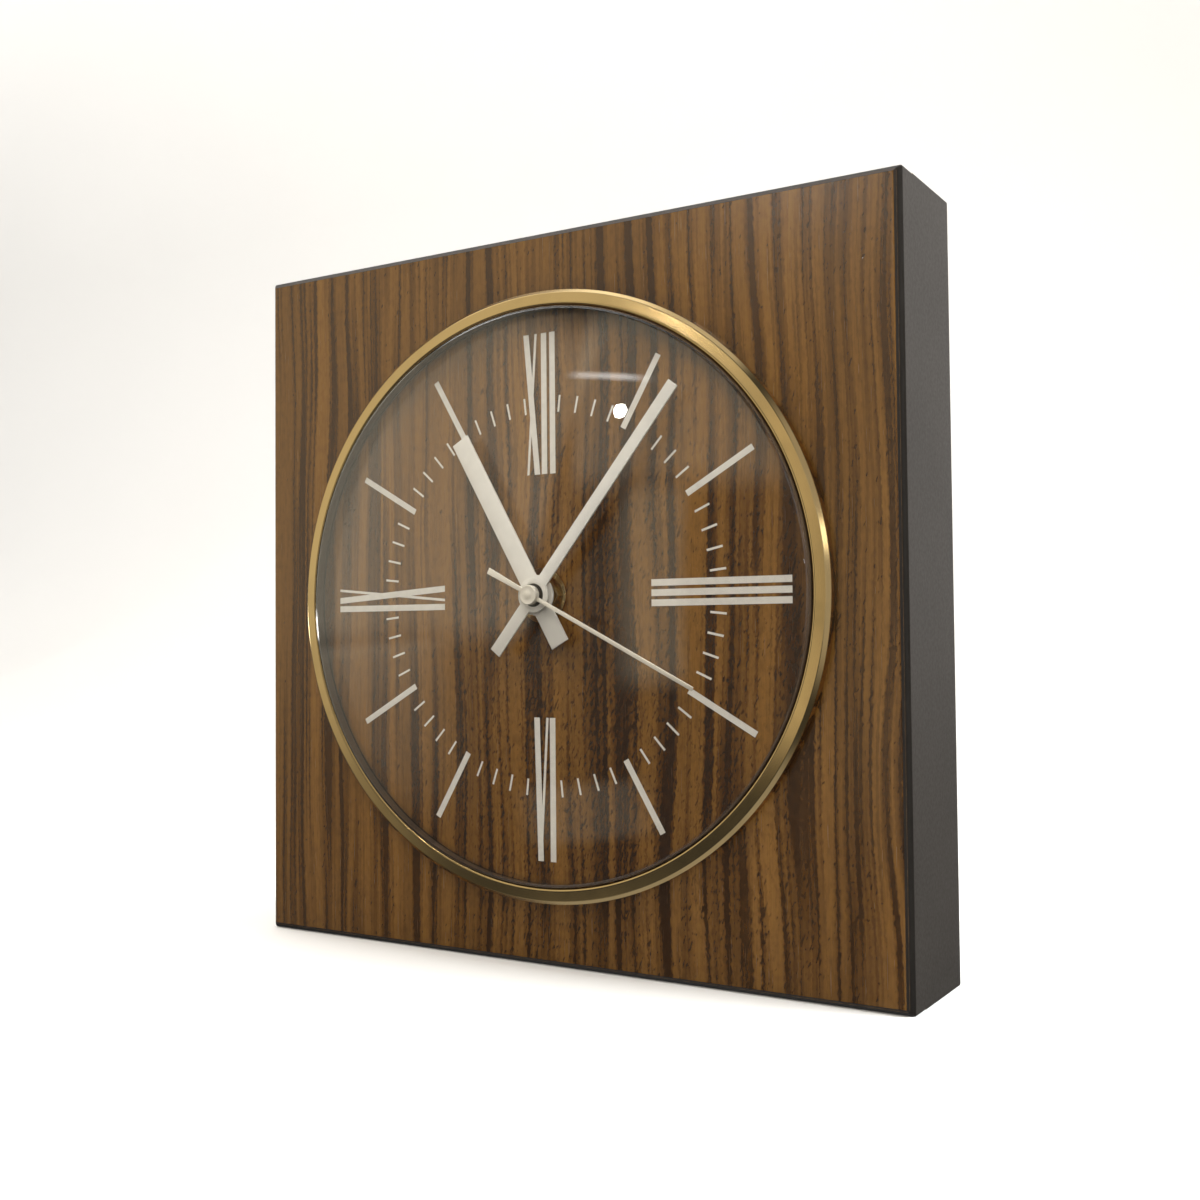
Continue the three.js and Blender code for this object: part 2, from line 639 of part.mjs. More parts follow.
// Fastening at the middle of the dial
const washerFront = -(GLUE_LINE + DIAL_WASHER_THICKNESS);

function dialWasher() {
  return tube(DIAL_WASHER_RADIUS, BUSH_HOLE, washerFront, -GLUE_LINE);
}

function dialNut() {
  const back = washerFront - GLUE_LINE;
  const sides = circle(CENTRE, DIAL_NUT_RADIUS, DIAL_NUT_SIDES);
  return plate(sides, back - DIAL_NUT_THICKNESS, back, [circle(CENTRE, BUSH_RADIUS + HAND_FIT, TUBE_STEPS)]);
}

function rubberWasher() {
  const front = BOARD_BACK + GLUE_LINE;
  return tube(RUBBER_WASHER_RADIUS, BUSH_HOLE, front, front + RUBBER_WASHER_THICKNESS);
}

function centreBush() {
  const flangeFront = MOVEMENT_FRONT + GLUE_LINE;
  const flangeBack = flangeFront + BUSH_FLANGE_THICKNESS;
  return turned(
    [
      [BUSH_BORE, -BUSH_PROUD],
      [BUSH_RADIUS, -BUSH_PROUD],
      [BUSH_RADIUS, flangeFront],
      [BUSH_FLANGE_RADIUS, flangeFront],
      [BUSH_FLANGE_RADIUS, flangeBack],
      [BUSH_RADIUS, flangeBack],
      [BUSH_RADIUS, MOVEMENT_FLOOR],
      [BUSH_BORE, MOVEMENT_FLOOR],
    ],
    TUBE_STEPS,
  );
}

// Hands, drawn pointing at twelve
function taperedBar(length, tipWidth, tail, tailWidth) {
  return [[-tailWidth / 2, -tail], [tailWidth / 2, -tail], [tipWidth / 2, length], [-tipWidth / 2, length]];
}

function hourHand() {
  const body = joined([
    plate(taperedBar(HOUR_LENGTH, HOUR_WIDTH, HOUR_TAIL, HOUR_WIDTH), HOUR_FRONT, HOUR_BACK),
    disc(CENTRE, HOUR_HUB_RADIUS, HOUR_FRONT, HOUR_BACK),
    disc(CENTRE, HOUR_COLLAR_RADIUS, HOUR_FRONT, HOUR_BACK + HAND_COLLAR_LENGTH),
  ]);
  return body.subtract(disc(CENTRE, PIPE_RADIUS + HAND_FIT, HOUR_FRONT - CUT_MARGIN, 0));
}

function minuteHand() {
  const bar = taperedBar(MINUTE_LENGTH, MINUTE_TIP_WIDTH, MINUTE_TAIL, MINUTE_TAIL_WIDTH);
  const body = joined([
    plate(bar, MINUTE_FRONT, MINUTE_BACK),
    disc(CENTRE, MINUTE_HUB_RADIUS, MINUTE_FRONT, MINUTE_BACK),
    disc(CENTRE, MINUTE_COLLAR_RADIUS, MINUTE_FRONT, MINUTE_BACK + HAND_COLLAR_LENGTH),
  ]);
  return body.subtract(disc(CENTRE, CANNON_RADIUS + HAND_FIT, MINUTE_FRONT - CUT_MARGIN, 0));
}

function secondHand() {
  const body = joined([
    plate(taperedBar(SECOND_LENGTH, SECOND_WIDTH, 0, SECOND_WIDTH), SECOND_FRONT, SECOND_BACK),
    plate(taperedBar(0, SECOND_WIDTH, SECOND_TAIL, SECOND_TAIL_WIDTH), SECOND_FRONT, SECOND_BACK),
    disc(CENTRE, SECOND_BOSS_RADIUS, SECOND_BOSS_FRONT, SECOND_BACK),
    disc(CENTRE, SECOND_SOCKET_RADIUS, SECOND_FRONT, SECOND_BACK + SECOND_SOCKET_LENGTH),
  ]);
  const socket = disc(CENTRE, SECOND_ARBOR_RADIUS + HAND_FIT, SECOND_BOSS_FRONT + SECOND_SOCKET_ROOF, 0);
  return body.subtract(socket);
}

// Wheels of the train, each with its arbor
function hourWheel() {
  const body = joined([
    disc(CENTRE, PIPE_RADIUS, HOUR_FRONT, layerBack(HOUR_LAYER)),
    wheelAt(CENTRE, HOUR_WHEEL_TEETH, HOUR_MODULE, HOUR_PHASE, HOUR_LAYER),
  ]);
  return body.subtract(disc(CENTRE, PIPE_BORE, HOUR_FRONT - CUT_MARGIN, MOVEMENT_RIM));
}

function centreWheel() {
  const pinionFront = layerFront(MINUTE_LAYER) - PINION_OVERHANG;
  const pinionBack = layerFront(CENTRE_LAYER) + WHEEL_THICKNESS / 2;
  const body = joined([
    disc(CENTRE, CANNON_RADIUS, MINUTE_FRONT, pinionFront),
    pinionAt(CENTRE, CANNON_PINION_TEETH, MINUTE_MODULE, 0, MINUTE_LAYER, pinionBack),
    wheelAt(CENTRE, CENTRE_WHEEL_TEETH, CENTRE_MODULE, CENTRE_PHASE, CENTRE_LAYER),
  ]);
  return body.subtract(disc(CENTRE, CANNON_BORE, MINUTE_FRONT - CUT_MARGIN, MOVEMENT_RIM));
}

function secondWheel() {
  const arborFront = SECOND_BOSS_FRONT + SECOND_SOCKET_ROOF + HAND_FIT;
  const pinionBack = layerFront(SECOND_LAYER) + WHEEL_THICKNESS / 2;
  return joined([
    disc(CENTRE, SECOND_ARBOR_RADIUS, arborFront, layerBack(SECOND_LAYER), ARBOR_STEPS),
    disc(CENTRE, ARBOR_RADIUS, layerFront(SECOND_LAYER), ARBOR_BACK, ARBOR_STEPS),
    pinionAt(CENTRE, SECOND_PINION_TEETH, THIRD_MODULE, 0, THIRD_LAYER, pinionBack),
    wheelAt(CENTRE, SECOND_WHEEL_TEETH, SECOND_MODULE, 0, SECOND_LAYER),
  ]);
}

function thirdWheel() {
  const pinionBack = layerFront(THIRD_LAYER) + WHEEL_THICKNESS / 2;
  return joined([
    arborAt(THIRD_AXIS),
    pinionAt(THIRD_AXIS, THIRD_PINION_TEETH, CENTRE_MODULE, 0, CENTRE_LAYER, pinionBack),
    wheelAt(THIRD_AXIS, THIRD_WHEEL_TEETH, THIRD_MODULE, THIRD_PHASE, THIRD_LAYER),
  ]);
}

function intermediateWheel() {
  const axis = INTERMEDIATE_AXIS;
  const pinionBack = layerFront(INTERMEDIATE_LAYER) + WHEEL_THICKNESS / 2;
  return joined([
    arborAt(axis),
    pinionAt(axis, INTERMEDIATE_PINION_TEETH, SECOND_MODULE, INTERMEDIATE_PHASE, SECOND_LAYER, pinionBack),
    wheelAt(axis, INTERMEDIATE_WHEEL_TEETH, ROTOR_MODULE, 0, INTERMEDIATE_LAYER),
  ]);
}

function rotorShaft() {
  return joined([
    arborAt(ROTOR_AXIS),
    pinionAt(ROTOR_AXIS, ROTOR_PINION_TEETH, ROTOR_MODULE, ROTOR_PHASE, INTERMEDIATE_LAYER),
  ]);
}

const STATOR_FRONT = MOVEMENT_FRONT + STATOR_DEPTH;
const STATOR_BACK = STATOR_FRONT + STATOR_THICKNESS;
const STATOR_MIDDLE = (STATOR_FRONT + STATOR_BACK) / 2;

function rotorMagnet() {
  const bore = circle(ROTOR_AXIS, ARBOR_RADIUS + HAND_FIT, ARBOR_STEPS);
  const front = STATOR_MIDDLE - MAGNET_LENGTH / 2;
  return plate(circle(ROTOR_AXIS, MAGNET_RADIUS, TUBE_STEPS), front, front + MAGNET_LENGTH, [bore]);
}

function minuteWheel() {
  const axis = MOTION_AXIS;
  const pinionBack = layerFront(MINUTE_LAYER) + WHEEL_THICKNESS / 2;
  const body = joined([
    pinionAt(axis, MINUTE_PINION_TEETH, HOUR_MODULE, 0, HOUR_LAYER, pinionBack),
    wheelAt(axis, MINUTE_WHEEL_TEETH, MINUTE_MODULE, MINUTE_PHASE, MINUTE_LAYER),
  ]);
  return body.subtract(disc(axis, STUD_RADIUS + PIVOT_CLEARANCE, MOVEMENT_FLOOR, MOVEMENT_RIM, ARBOR_STEPS));
}

const KNOB_FRONT = COVER_BACK + KNOB_STANDOFF;
const KNOB_BACK = KNOB_FRONT + KNOB_LENGTH;

function setShaft() {
  const axis = SETTING_AXIS;
  const pinionFront = layerFront(MINUTE_LAYER) - PINION_OVERHANG;
  const shoulder = layerBack(MINUTE_LAYER);
  return joined([
    disc(axis, SET_PIVOT_RADIUS, ARBOR_FRONT, shoulder, ARBOR_STEPS),
    pinionAt(axis, CANNON_PINION_TEETH, MINUTE_MODULE, SETTING_PHASE, MINUTE_LAYER),
    disc(axis, SET_SHAFT_RADIUS, pinionFront, KNOB_BACK - KNOB_ROOF - KNOB_FIT, TUBE_STEPS),
  ]);
}

function setKnob() {
  const [x, z] = SETTING_AXIS;
  const outline = [];
  for (let i = 0; i < KNOB_FLUTES * 2; i += 1) {
    const radius = i % 2 ? KNOB_RADIUS - KNOB_FLUTE_DEPTH : KNOB_RADIUS;
    const angle = (i * Math.PI) / KNOB_FLUTES;
    outline.push([x + radius * Math.cos(angle), z + radius * Math.sin(angle)]);
  }
  const grip = plate(outline, KNOB_FRONT, KNOB_BACK);
  const socketBack = KNOB_BACK - KNOB_ROOF;
  return grip.subtract(disc(SETTING_AXIS, SET_SHAFT_RADIUS + KNOB_FIT, KNOB_FRONT - CUT_MARGIN, socketBack));
}

// Stepping motor: a flat iron horseshoe round the magnet, closed by the core of the coil
const ARM_OFFSETS = [-STATOR_ARM_SPACING / 2, STATOR_ARM_SPACING / 2];
const COIL_HEIGHT = WELL_TOP - COIL_WALL_GAP - COIL_RADIUS;
const STATOR_POST_HEIGHT = (ROTOR_AXIS[1] + COIL_HEIGHT) / 2;
const statorPosts = ARM_OFFSETS.map((offset) => [ROTOR_AXIS[0] + offset, STATOR_POST_HEIGHT]);

function stator() {
  const [x, z] = ROTOR_AXIS;
  const hole = MAGNET_RADIUS + STATOR_GAP;
  const reach = (STATOR_ARM_SPACING + STATOR_ARM_WIDTH) / 2;
  const halfBar = STATOR_BAR_WIDTH / 2;
  const halfArm = STATOR_ARM_WIDTH / 2;
  const coreTop = COIL_HEIGHT + COIL_CORE_WIDTH / 2;
  const iron = joined([
    disc(ROTOR_AXIS, hole + STATOR_RING_WIDTH, STATOR_FRONT, STATOR_BACK),
    plate(rectangle(x - reach, z - halfBar, x + reach, z + halfBar), STATOR_FRONT, STATOR_BACK),
    ...ARM_OFFSETS.map((offset) =>
      plate(rectangle(x + offset - halfArm, z, x + offset + halfArm, coreTop), STATOR_FRONT, STATOR_BACK),
    ),
  ]);
  return iron.subtract(disc(ROTOR_AXIS, hole, STATOR_FRONT - CUT_MARGIN, STATOR_BACK + CUT_MARGIN));
}

const CORE_FRONT = STATOR_BACK + GLUE_LINE;
const CORE_MIDDLE = CORE_FRONT + STATOR_THICKNESS / 2;

function coilCore() {
  const reach = (STATOR_ARM_SPACING + STATOR_ARM_WIDTH) / 2;
  const x = ROTOR_AXIS[0];
  const half = COIL_CORE_WIDTH / 2;
  const bar = rectangle(x - reach, COIL_HEIGHT - half, x + reach, COIL_HEIGHT + half);
  return plate(bar, CORE_FRONT, CORE_FRONT + STATOR_THICKNESS);
}

function coil() {
  const half = (STATOR_ARM_SPACING - STATOR_ARM_WIDTH) / 2 - COIL_CLEARANCE;
  const bore = Math.hypot(COIL_CORE_WIDTH / 2, STATOR_THICKNESS / 2) + COIL_CLEARANCE;
  const wound = COIL_RADIUS - COIL_FLANGE_STEP;
  const inner = half - COIL_FLANGE_THICKNESS;
  const spool = [
    [bore, -half],
    [COIL_RADIUS, -half],
    [COIL_RADIUS, -inner],
    [wound, -inner],
    [wound, inner],
    [COIL_RADIUS, inner],
    [COIL_RADIUS, half],
    [bore, half],
  ];
  return turned(spool, TUBE_STEPS);
}

// Circuit board on two posts, with its quartz can
const CIRCUIT_LEFT = -WELL_HALF + 2 * SCREW_POST_RADIUS - SCREW_POST_SINK + CIRCUIT_SIDE_GAP;
const CIRCUIT_TOP = WELL_TOP - CIRCUIT_TOP_GAP;
const CIRCUIT_MIDDLE = CIRCUIT_TOP - CIRCUIT_HEIGHT / 2;
const CIRCUIT_FRONT = MOVEMENT_FRONT + CIRCUIT_DEPTH;
const CIRCUIT_BACK = CIRCUIT_FRONT + CIRCUIT_THICKNESS;
const circuitPosts = [CIRCUIT_POST_INSET, CIRCUIT_WIDTH - CIRCUIT_POST_INSET].map((inset) => [
  CIRCUIT_LEFT + inset,
  CIRCUIT_MIDDLE,
]);

function circuitBoard() {
  const bottom = CIRCUIT_TOP - CIRCUIT_HEIGHT;
  return plate(
    rectangle(CIRCUIT_LEFT, bottom, CIRCUIT_LEFT + CIRCUIT_WIDTH, CIRCUIT_TOP),
    CIRCUIT_FRONT,
    CIRCUIT_BACK,
  );
}

function quartzCan() {
  const half = QUARTZ_LENGTH / 2;
  return turned([[0, -half], [QUARTZ_RADIUS, -half], [QUARTZ_RADIUS, half], [0, half]], ARBOR_STEPS);
}

// Battery cell, lying along x, and its two contacts
const CONTACT_SEAT = MOVEMENT_FLOOR + GLUE_LINE;
const CELL_DEPTH = CONTACT_SEAT + CONTACT_THICKNESS + CELL_SEAT_GAP + CELL_RADIUS;
const CELL_HEIGHT = (BAY_BOTTOM + BAY_TOP) / 2;
const CELL_HALF = (CELL_LENGTH + CELL_NUB_LENGTH) / 2;
const BAY_HALF = CELL_HALF + CONTACT_GAP + CONTACT_THICKNESS + CONTACT_GAP;

function batteryCell() {
  const shoulder = CELL_HALF - CELL_NUB_LENGTH;
  const profile = [
    [0, -CELL_HALF],
    [CELL_RADIUS - CELL_EDGE, -CELL_HALF],
    [CELL_RADIUS, -CELL_HALF + CELL_EDGE],
    [CELL_RADIUS, shoulder - CELL_EDGE],
    [CELL_RADIUS - CELL_EDGE, shoulder],
    [CELL_NUB_RADIUS, shoulder],
    [CELL_NUB_RADIUS, CELL_HALF],
    [0, CELL_HALF],
  ];
  return turned(profile, TUBE_STEPS);
}

// A contact is a strip with a foot on the floor of the bay, seen along z.
function contact(side) {
  const near = side * (CELL_HALF + CONTACT_GAP);
  const far = near + side * CONTACT_THICKNESS;
  const foot = near - side * CONTACT_FOOT;
  const footTop = CONTACT_SEAT + CONTACT_THICKNESS;
  const back = MOVEMENT_RIM - CONTACT_TOP_GAP;
  const outline = [
    [far, CONTACT_SEAT],
    [far, back],
    [near, back],
    [near, footTop],
    [foot, footTop],
    [foot, CONTACT_SEAT],
  ];
  const points = vectors(outline);
  if (THREE.ShapeUtils.area(points) < 0) points.reverse();
  const strip = new THREE.ExtrudeGeometry(new THREE.Shape(points), { depth: CONTACT_WIDTH, bevelEnabled: false });
  strip.translate(0, 0, CELL_HEIGHT - CONTACT_WIDTH / 2);
  return toSolid(strip);
}

// Movement housing: a tray with a well for the wheels and a bay for the cell
const SCREW_POST_INSET = SCREW_POST_RADIUS - SCREW_POST_SINK;
const screwPosts = [-1, 1].flatMap((side) => [
  [side * (WELL_HALF - SCREW_POST_INSET), WELL_BOTTOM + SCREW_POST_INSET],
  [side * (WELL_HALF - SCREW_POST_INSET), WELL_TOP - SCREW_POST_INSET],
]);

function movementBase() {
  const outline = roundedRectangle(
    -MOVEMENT_HALF,
    MOVEMENT_BOTTOM,
    MOVEMENT_HALF,
    MOVEMENT_TOP,
    MOVEMENT_CORNER,
  );
  const above = MOVEMENT_RIM + CUT_MARGIN;
  const below = MOVEMENT_FRONT - CUT_MARGIN;
  const well = rectangle(-WELL_HALF, WELL_BOTTOM, WELL_HALF, WELL_TOP);
  const bay = rectangle(-BAY_HALF, BAY_BOTTOM, BAY_HALF, BAY_TOP);
  const shell = cut(plate(outline, MOVEMENT_FRONT, MOVEMENT_RIM), [
    plate(well, MOVEMENT_FLOOR, above),
    plate(bay, MOVEMENT_FLOOR, above),
  ]);
  const rooted = MOVEMENT_FLOOR - MOVEMENT_WALL / 2;
  const tray = joined([
    shell,
    ...screwPosts.map((post) => disc(post, SCREW_POST_RADIUS, rooted, MOVEMENT_RIM, ARBOR_STEPS)),
    ...statorPosts.map((post) => disc(post, POST_RADIUS, rooted, STATOR_FRONT - GLUE_LINE, ARBOR_STEPS)),
    ...circuitPosts.map((post) => disc(post, POST_RADIUS, rooted, CIRCUIT_FRONT - GLUE_LINE, ARBOR_STEPS)),
    disc(MOTION_AXIS, STUD_RADIUS, rooted, layerBack(MINUTE_LAYER) + PINION_OVERHANG, ARBOR_STEPS),
  ]);
  const pivots = BEARING_AXES.slice(1).map((axis) =>
    disc(axis, ARBOR_RADIUS + PIVOT_CLEARANCE, below, above, ARBOR_STEPS),
  );
  const flangeSeat = MOVEMENT_FRONT + BUSH_FLANGE_THICKNESS + 2 * GLUE_LINE;
  return cut(tray, [
    ...pivots,
    disc(SETTING_AXIS, SET_PIVOT_RADIUS + PIVOT_CLEARANCE, below, above, ARBOR_STEPS),
    disc(CENTRE, BUSH_HOLE, below, above),
    disc(CENTRE, BUSH_FLANGE_RADIUS + BUSH_CLEARANCE, below, flangeSeat),
  ]);
}

function movementCover() {
  const bottom = BAY_TOP + GLUE_LINE;
  const outline = [
    ...roundedRectangle(-MOVEMENT_HALF, bottom, MOVEMENT_HALF, MOVEMENT_TOP, MOVEMENT_CORNER).slice(
      0,
      2 * (CORNER_STEPS + 1),
    ),
    [-MOVEMENT_HALF, bottom],
    [MOVEMENT_HALF, bottom],
  ];
  const rooted = COVER_FRONT + COVER_THICKNESS / 2;
  const lid = joined([
    plate(outline, COVER_FRONT, COVER_BACK),
    ...BEARING_AXES.map((axis) => disc(axis, BEARING_BOSS_RADIUS, BEARING_FRONT, rooted, ARBOR_STEPS)),
  ]);
  const bearings = BEARING_AXES.map((axis) =>
    disc(axis, ARBOR_RADIUS + PIVOT_CLEARANCE, BEARING_FRONT - CUT_MARGIN, COVER_FRONT, ARBOR_STEPS),
  );
  const shaftHole = disc(
    SETTING_AXIS,
    SET_SHAFT_RADIUS + RUNNING_GAP,
    COVER_FRONT - CUT_MARGIN,
    COVER_BACK + CUT_MARGIN,
  );
  return cut(lid, [...bearings, shaftHole]);
}

// Assembly
const caseGroup = new THREE.Group();
caseGroup.add(piece("veneer_face", veneerFace(), VENEER));
caseGroup.add(piece("front_board", frontBoard(), BOARD));
caseGroup.add(piece("case_top_rail", topRail(), PAINTED_WOOD));
["right", "bottom", "left"].forEach((side, i) => {
  const rail = piece(`case_${side}_rail`, mitredRail(), PAINTED_WOOD);
  rail.rotation.y = ((i + 1) * Math.PI) / 2;
  caseGroup.add(rail);
});
caseGroup.add(piece("hanger_plate", hangerPlate(), STEEL));

const frontGroup = new THREE.Group();
frontGroup.add(piece("bezel", bezel(), BRASS));
frontGroup.add(piece("lens_gasket", lensGasket(), DARK_RUBBER));
frontGroup.add(piece("lens", lens(), CLEAR));
frontGroup.add(piece("dial_washer", dialWasher(), BRASS));
frontGroup.add(piece("dial_nut", dialNut(), BRASS));

const handGroup = new THREE.Group();
const hands = [
  ["hour_hand", hourHand(), WHITE_PAINT, HOUR_ANGLE],
  ["minute_hand", minuteHand(), WHITE_PAINT, MINUTE_ANGLE],
  ["second_hand", secondHand(), CREAM_PAINT, SECOND_ANGLE],
];
hands.forEach(([name, solid, material, angle]) => {
  const hand = piece(name, solid, material);
  hand.rotation.y = angle;
  handGroup.add(hand);
});

const movementGroup = new THREE.Group();
movementGroup.add(piece("rubber_washer", rubberWasher(), DARK_RUBBER));
movementGroup.add(piece("centre_bush", centreBush(), BRASS));
movementGroup.add(piece("movement_base", movementBase(), BLACK_PLASTIC));
movementGroup.add(piece("movement_cover", movementCover(), BLACK_PLASTIC));
movementGroup.add(piece("hour_wheel", hourWheel(), WHITE_PLASTIC));
movementGroup.add(piece("centre_wheel", centreWheel(), WHITE_PLASTIC));
movementGroup.add(piece("second_wheel", secondWheel(), STEEL));
movementGroup.add(piece("third_wheel", thirdWheel(), WHITE_PLASTIC));
movementGroup.add(piece("intermediate_wheel", intermediateWheel(), WHITE_PLASTIC));
movementGroup.add(piece("rotor_shaft", rotorShaft(), WHITE_PLASTIC));
movementGroup.add(piece("rotor_magnet", rotorMagnet(), STEEL));
movementGroup.add(piece("minute_wheel", minuteWheel(), WHITE_PLASTIC));
movementGroup.add(piece("set_shaft", setShaft(), WHITE_PLASTIC));
movementGroup.add(piece("set_knob", setKnob(), BLACK_PLASTIC));
movementGroup.add(piece("stator", stator(), STEEL));
movementGroup.add(piece("coil_core", coilCore(), STEEL));
const coilMesh = piece("coil", coil(), COPPER);
movementGroup.add(laid(coilMesh, Math.PI / 2, ROTOR_AXIS[0], CORE_MIDDLE, COIL_HEIGHT));
movementGroup.add(piece("circuit_board", circuitBoard(), CIRCUIT_GREEN));
const quartzMesh = piece("quartz_can", quartzCan(), STEEL);
const quartzDepth = CIRCUIT_BACK + GLUE_LINE + QUARTZ_RADIUS;
movementGroup.add(laid(quartzMesh, Math.PI / 2, CIRCUIT_LEFT + CIRCUIT_WIDTH / 2, quartzDepth, CIRCUIT_MIDDLE));
const cellMesh = piece("battery_cell", batteryCell(), CELL_JACKET);
movementGroup.add(laid(cellMesh, -Math.PI / 2, 0, CELL_DEPTH, CELL_HEIGHT));
movementGroup.add(piece("positive_contact", contact(1), STEEL));
movementGroup.add(piece("negative_contact", contact(-1), STEEL));

const clock = new THREE.Group();
clock.add(caseGroup, frontGroup, handGroup, movementGroup);
clock.position.set(0, (LENS_HEIGHT - CASE_DEPTH) / 2, CASE_HALF);

const part = new THREE.Group();
part.add(clock);
export default part;
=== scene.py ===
"""Square wall clock: dresses the packed solids with veneer, brass, a lens, hands and a movement.

Metres, in the frame of the packed model: +Z is up and the dial looks towards -Y.
Pieces are drawn round the dial axis, with y counted from the veneer's face towards the wall,
and are then moved to the dial's place.
"""

import math

import bmesh
import bpy
from bpy.props import FloatProperty, FloatVectorProperty, IntProperty, PointerProperty
from mathutils import Matrix, Vector


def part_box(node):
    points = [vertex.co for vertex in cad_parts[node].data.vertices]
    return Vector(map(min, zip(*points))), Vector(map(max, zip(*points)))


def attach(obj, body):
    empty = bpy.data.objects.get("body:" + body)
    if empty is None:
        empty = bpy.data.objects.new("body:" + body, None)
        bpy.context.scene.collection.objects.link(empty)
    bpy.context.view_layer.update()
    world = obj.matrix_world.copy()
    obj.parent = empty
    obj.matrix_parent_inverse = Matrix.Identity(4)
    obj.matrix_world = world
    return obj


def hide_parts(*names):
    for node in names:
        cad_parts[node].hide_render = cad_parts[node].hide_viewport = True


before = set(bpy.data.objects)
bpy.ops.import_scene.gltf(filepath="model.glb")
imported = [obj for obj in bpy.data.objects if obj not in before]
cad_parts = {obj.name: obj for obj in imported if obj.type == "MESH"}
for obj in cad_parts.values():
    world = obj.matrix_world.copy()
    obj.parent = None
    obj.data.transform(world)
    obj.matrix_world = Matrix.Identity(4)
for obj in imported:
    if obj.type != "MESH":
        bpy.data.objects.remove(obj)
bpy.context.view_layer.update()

bl_info = {
    "name": "Square Wall Clock",
    "version": (1, 0, 0),
    "blender": (4, 5, 0),
    "location": "3D View > Sidebar > Clock",
    "description": "Builds the visible pieces of a square wooden wall clock round its solids",
    "category": "Object",
}

VENEER_LOW, VENEER_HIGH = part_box("veneer_face")
DIAL = Vector((0, VENEER_LOW.y, (VENEER_LOW.z + VENEER_HIGH.z) / 2))
FULL_TURN = 2 * math.pi
TINY = 1e-6


def front_of(node):
    """Depth of a solid's front, counted from the veneer's face."""
    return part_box(node)[0].y - DIAL.y


def back_of(node):
    """Depth of a solid's back, counted from the veneer's face."""
    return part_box(node)[1].y - DIAL.y


# Settings


def length(name, description, default):
    return FloatProperty(name=name, description=description, default=default, unit="LENGTH", precision=5)


def angle(name, description, degrees):
    return FloatProperty(name=name, description=description, default=math.radians(degrees), subtype="ANGLE")


def share(name, description, default):
    return FloatProperty(name=name, description=description, default=default, min=0, max=1, subtype="FACTOR")


def colour(name, description, default):
    return FloatVectorProperty(
        name=name, description=description, default=default, subtype="COLOR", size=3, min=0, max=1
    )


def place(name, description, default):
    return FloatVectorProperty(
        name=name, description=description, default=default, subtype="TRANSLATION", unit="LENGTH", size=3
    )


def power(name, description, default):
    return FloatProperty(name=name, description=description, default=default, min=0, unit="POWER")


class ClockWood(bpy.types.PropertyGroup):
    """Veneer, board, rails and their paint"""

    veneer_light: colour("Light wood", "Wood between the dark strips", (0.181, 0.085, 0.016))
    veneer_mid: colour("Mid wood", "Wood at the strips' edges", (0.108, 0.0465, 0.007))
    veneer_dark: colour("Dark wood", "The dark strips", (0.04, 0.0145, 0.0014))
    fleck_colour: colour("Flecks", "Short dark flecks", (0.024, 0.009, 0.0015))
    strip_size: length("Strip size", "Width of a strip of figure", 0.0036)
    strip_run: length("Strip run", "Height over which a strip comes and goes", 0.2)
    strip_wander: length("Strip wander", "How far a strip wanders from straight", 0.0045)
    strip_fray: length("Strip fray", "How ragged a strip's edge is among the flecks", 0.0012)
    fleck_width: length("Fleck width", "Width of a fleck", 0.00075)
    fleck_run: length("Fleck run", "Height of a fleck", 0.0021)
    fleck_middle: place("Fleck middle", "Where the flecks crowd, from the dial's middle", (0.018, 0, -0.035))
    fleck_spread: length("Fleck spread", "How far the flecks spread to the sides", 0.075)
    veneer_roughness: share("Veneer roughness", "Roughness of the lacquer", 0.21)
    # Painted light: brightens the veneer under the lens to make up for light the lens holds back.
    lens_painted_light: FloatProperty(
        name="Paleness under the lens", description="How much paler the veneer kept under the lens", default=1.8, min=0
    )
    edge_colour: colour("Edge paint", "Paint on the chamfered front edge", (0.0125, 0.0102, 0.008))
    paint_colour: colour("Side paint", "Paint on the sides", (0.045, 0.039, 0.034))
    paint_roughness: share("Paint roughness", "Roughness of the side paint", 0.36)
    rail_colour: colour("Bare rail", "Bare wood inside the case", (0.42, 0.27, 0.14))
    board_colour: colour("Bare board", "Pressed board behind the veneer", (0.2, 0.115, 0.055))
    chamfer: length("Chamfer", "Depth of the chamfered front edge", 0.0017)
    edge_round: length("Edge rounding", "Rounding of the wooden edges", 0.0004)


class ClockDial(bpy.types.PropertyGroup):
    """Marks printed on the veneer"""

    ink: colour("Ink", "Off-white printing ink", (0.84, 0.81, 0.74))
    ink_height: length("Ink height", "Thickness of the printed film", 0.00003)
    minute_inner: length("Minute mark start", "Inner radius of the minute marks", 0.0508)
    minute_outer: length("Minute mark end", "Outer radius of the minute marks", 0.0554)
    minute_width: length("Minute mark width", "Width of the minute marks", 0.0006)
    hour_inner: length("Hour line start", "Inner radius of the hour lines", 0.051)
    hour_outer: length("Hour line end", "Outer radius of the hour lines", 0.0726)
    hour_width: length("Hour line width", "Width of the hour lines", 0.0017)
    numeral_inner: length("Numeral start", "Inner end of the numerals' strokes", 0.0336)
    numeral_outer: length("Numeral end", "Outer end of the numerals' strokes", 0.0729)
    stroke: length("Stroke", "Width of a numeral's thick stroke", 0.00178)
    hairline: length("Hairline", "Width of a numeral's thin stroke", 0.00075)


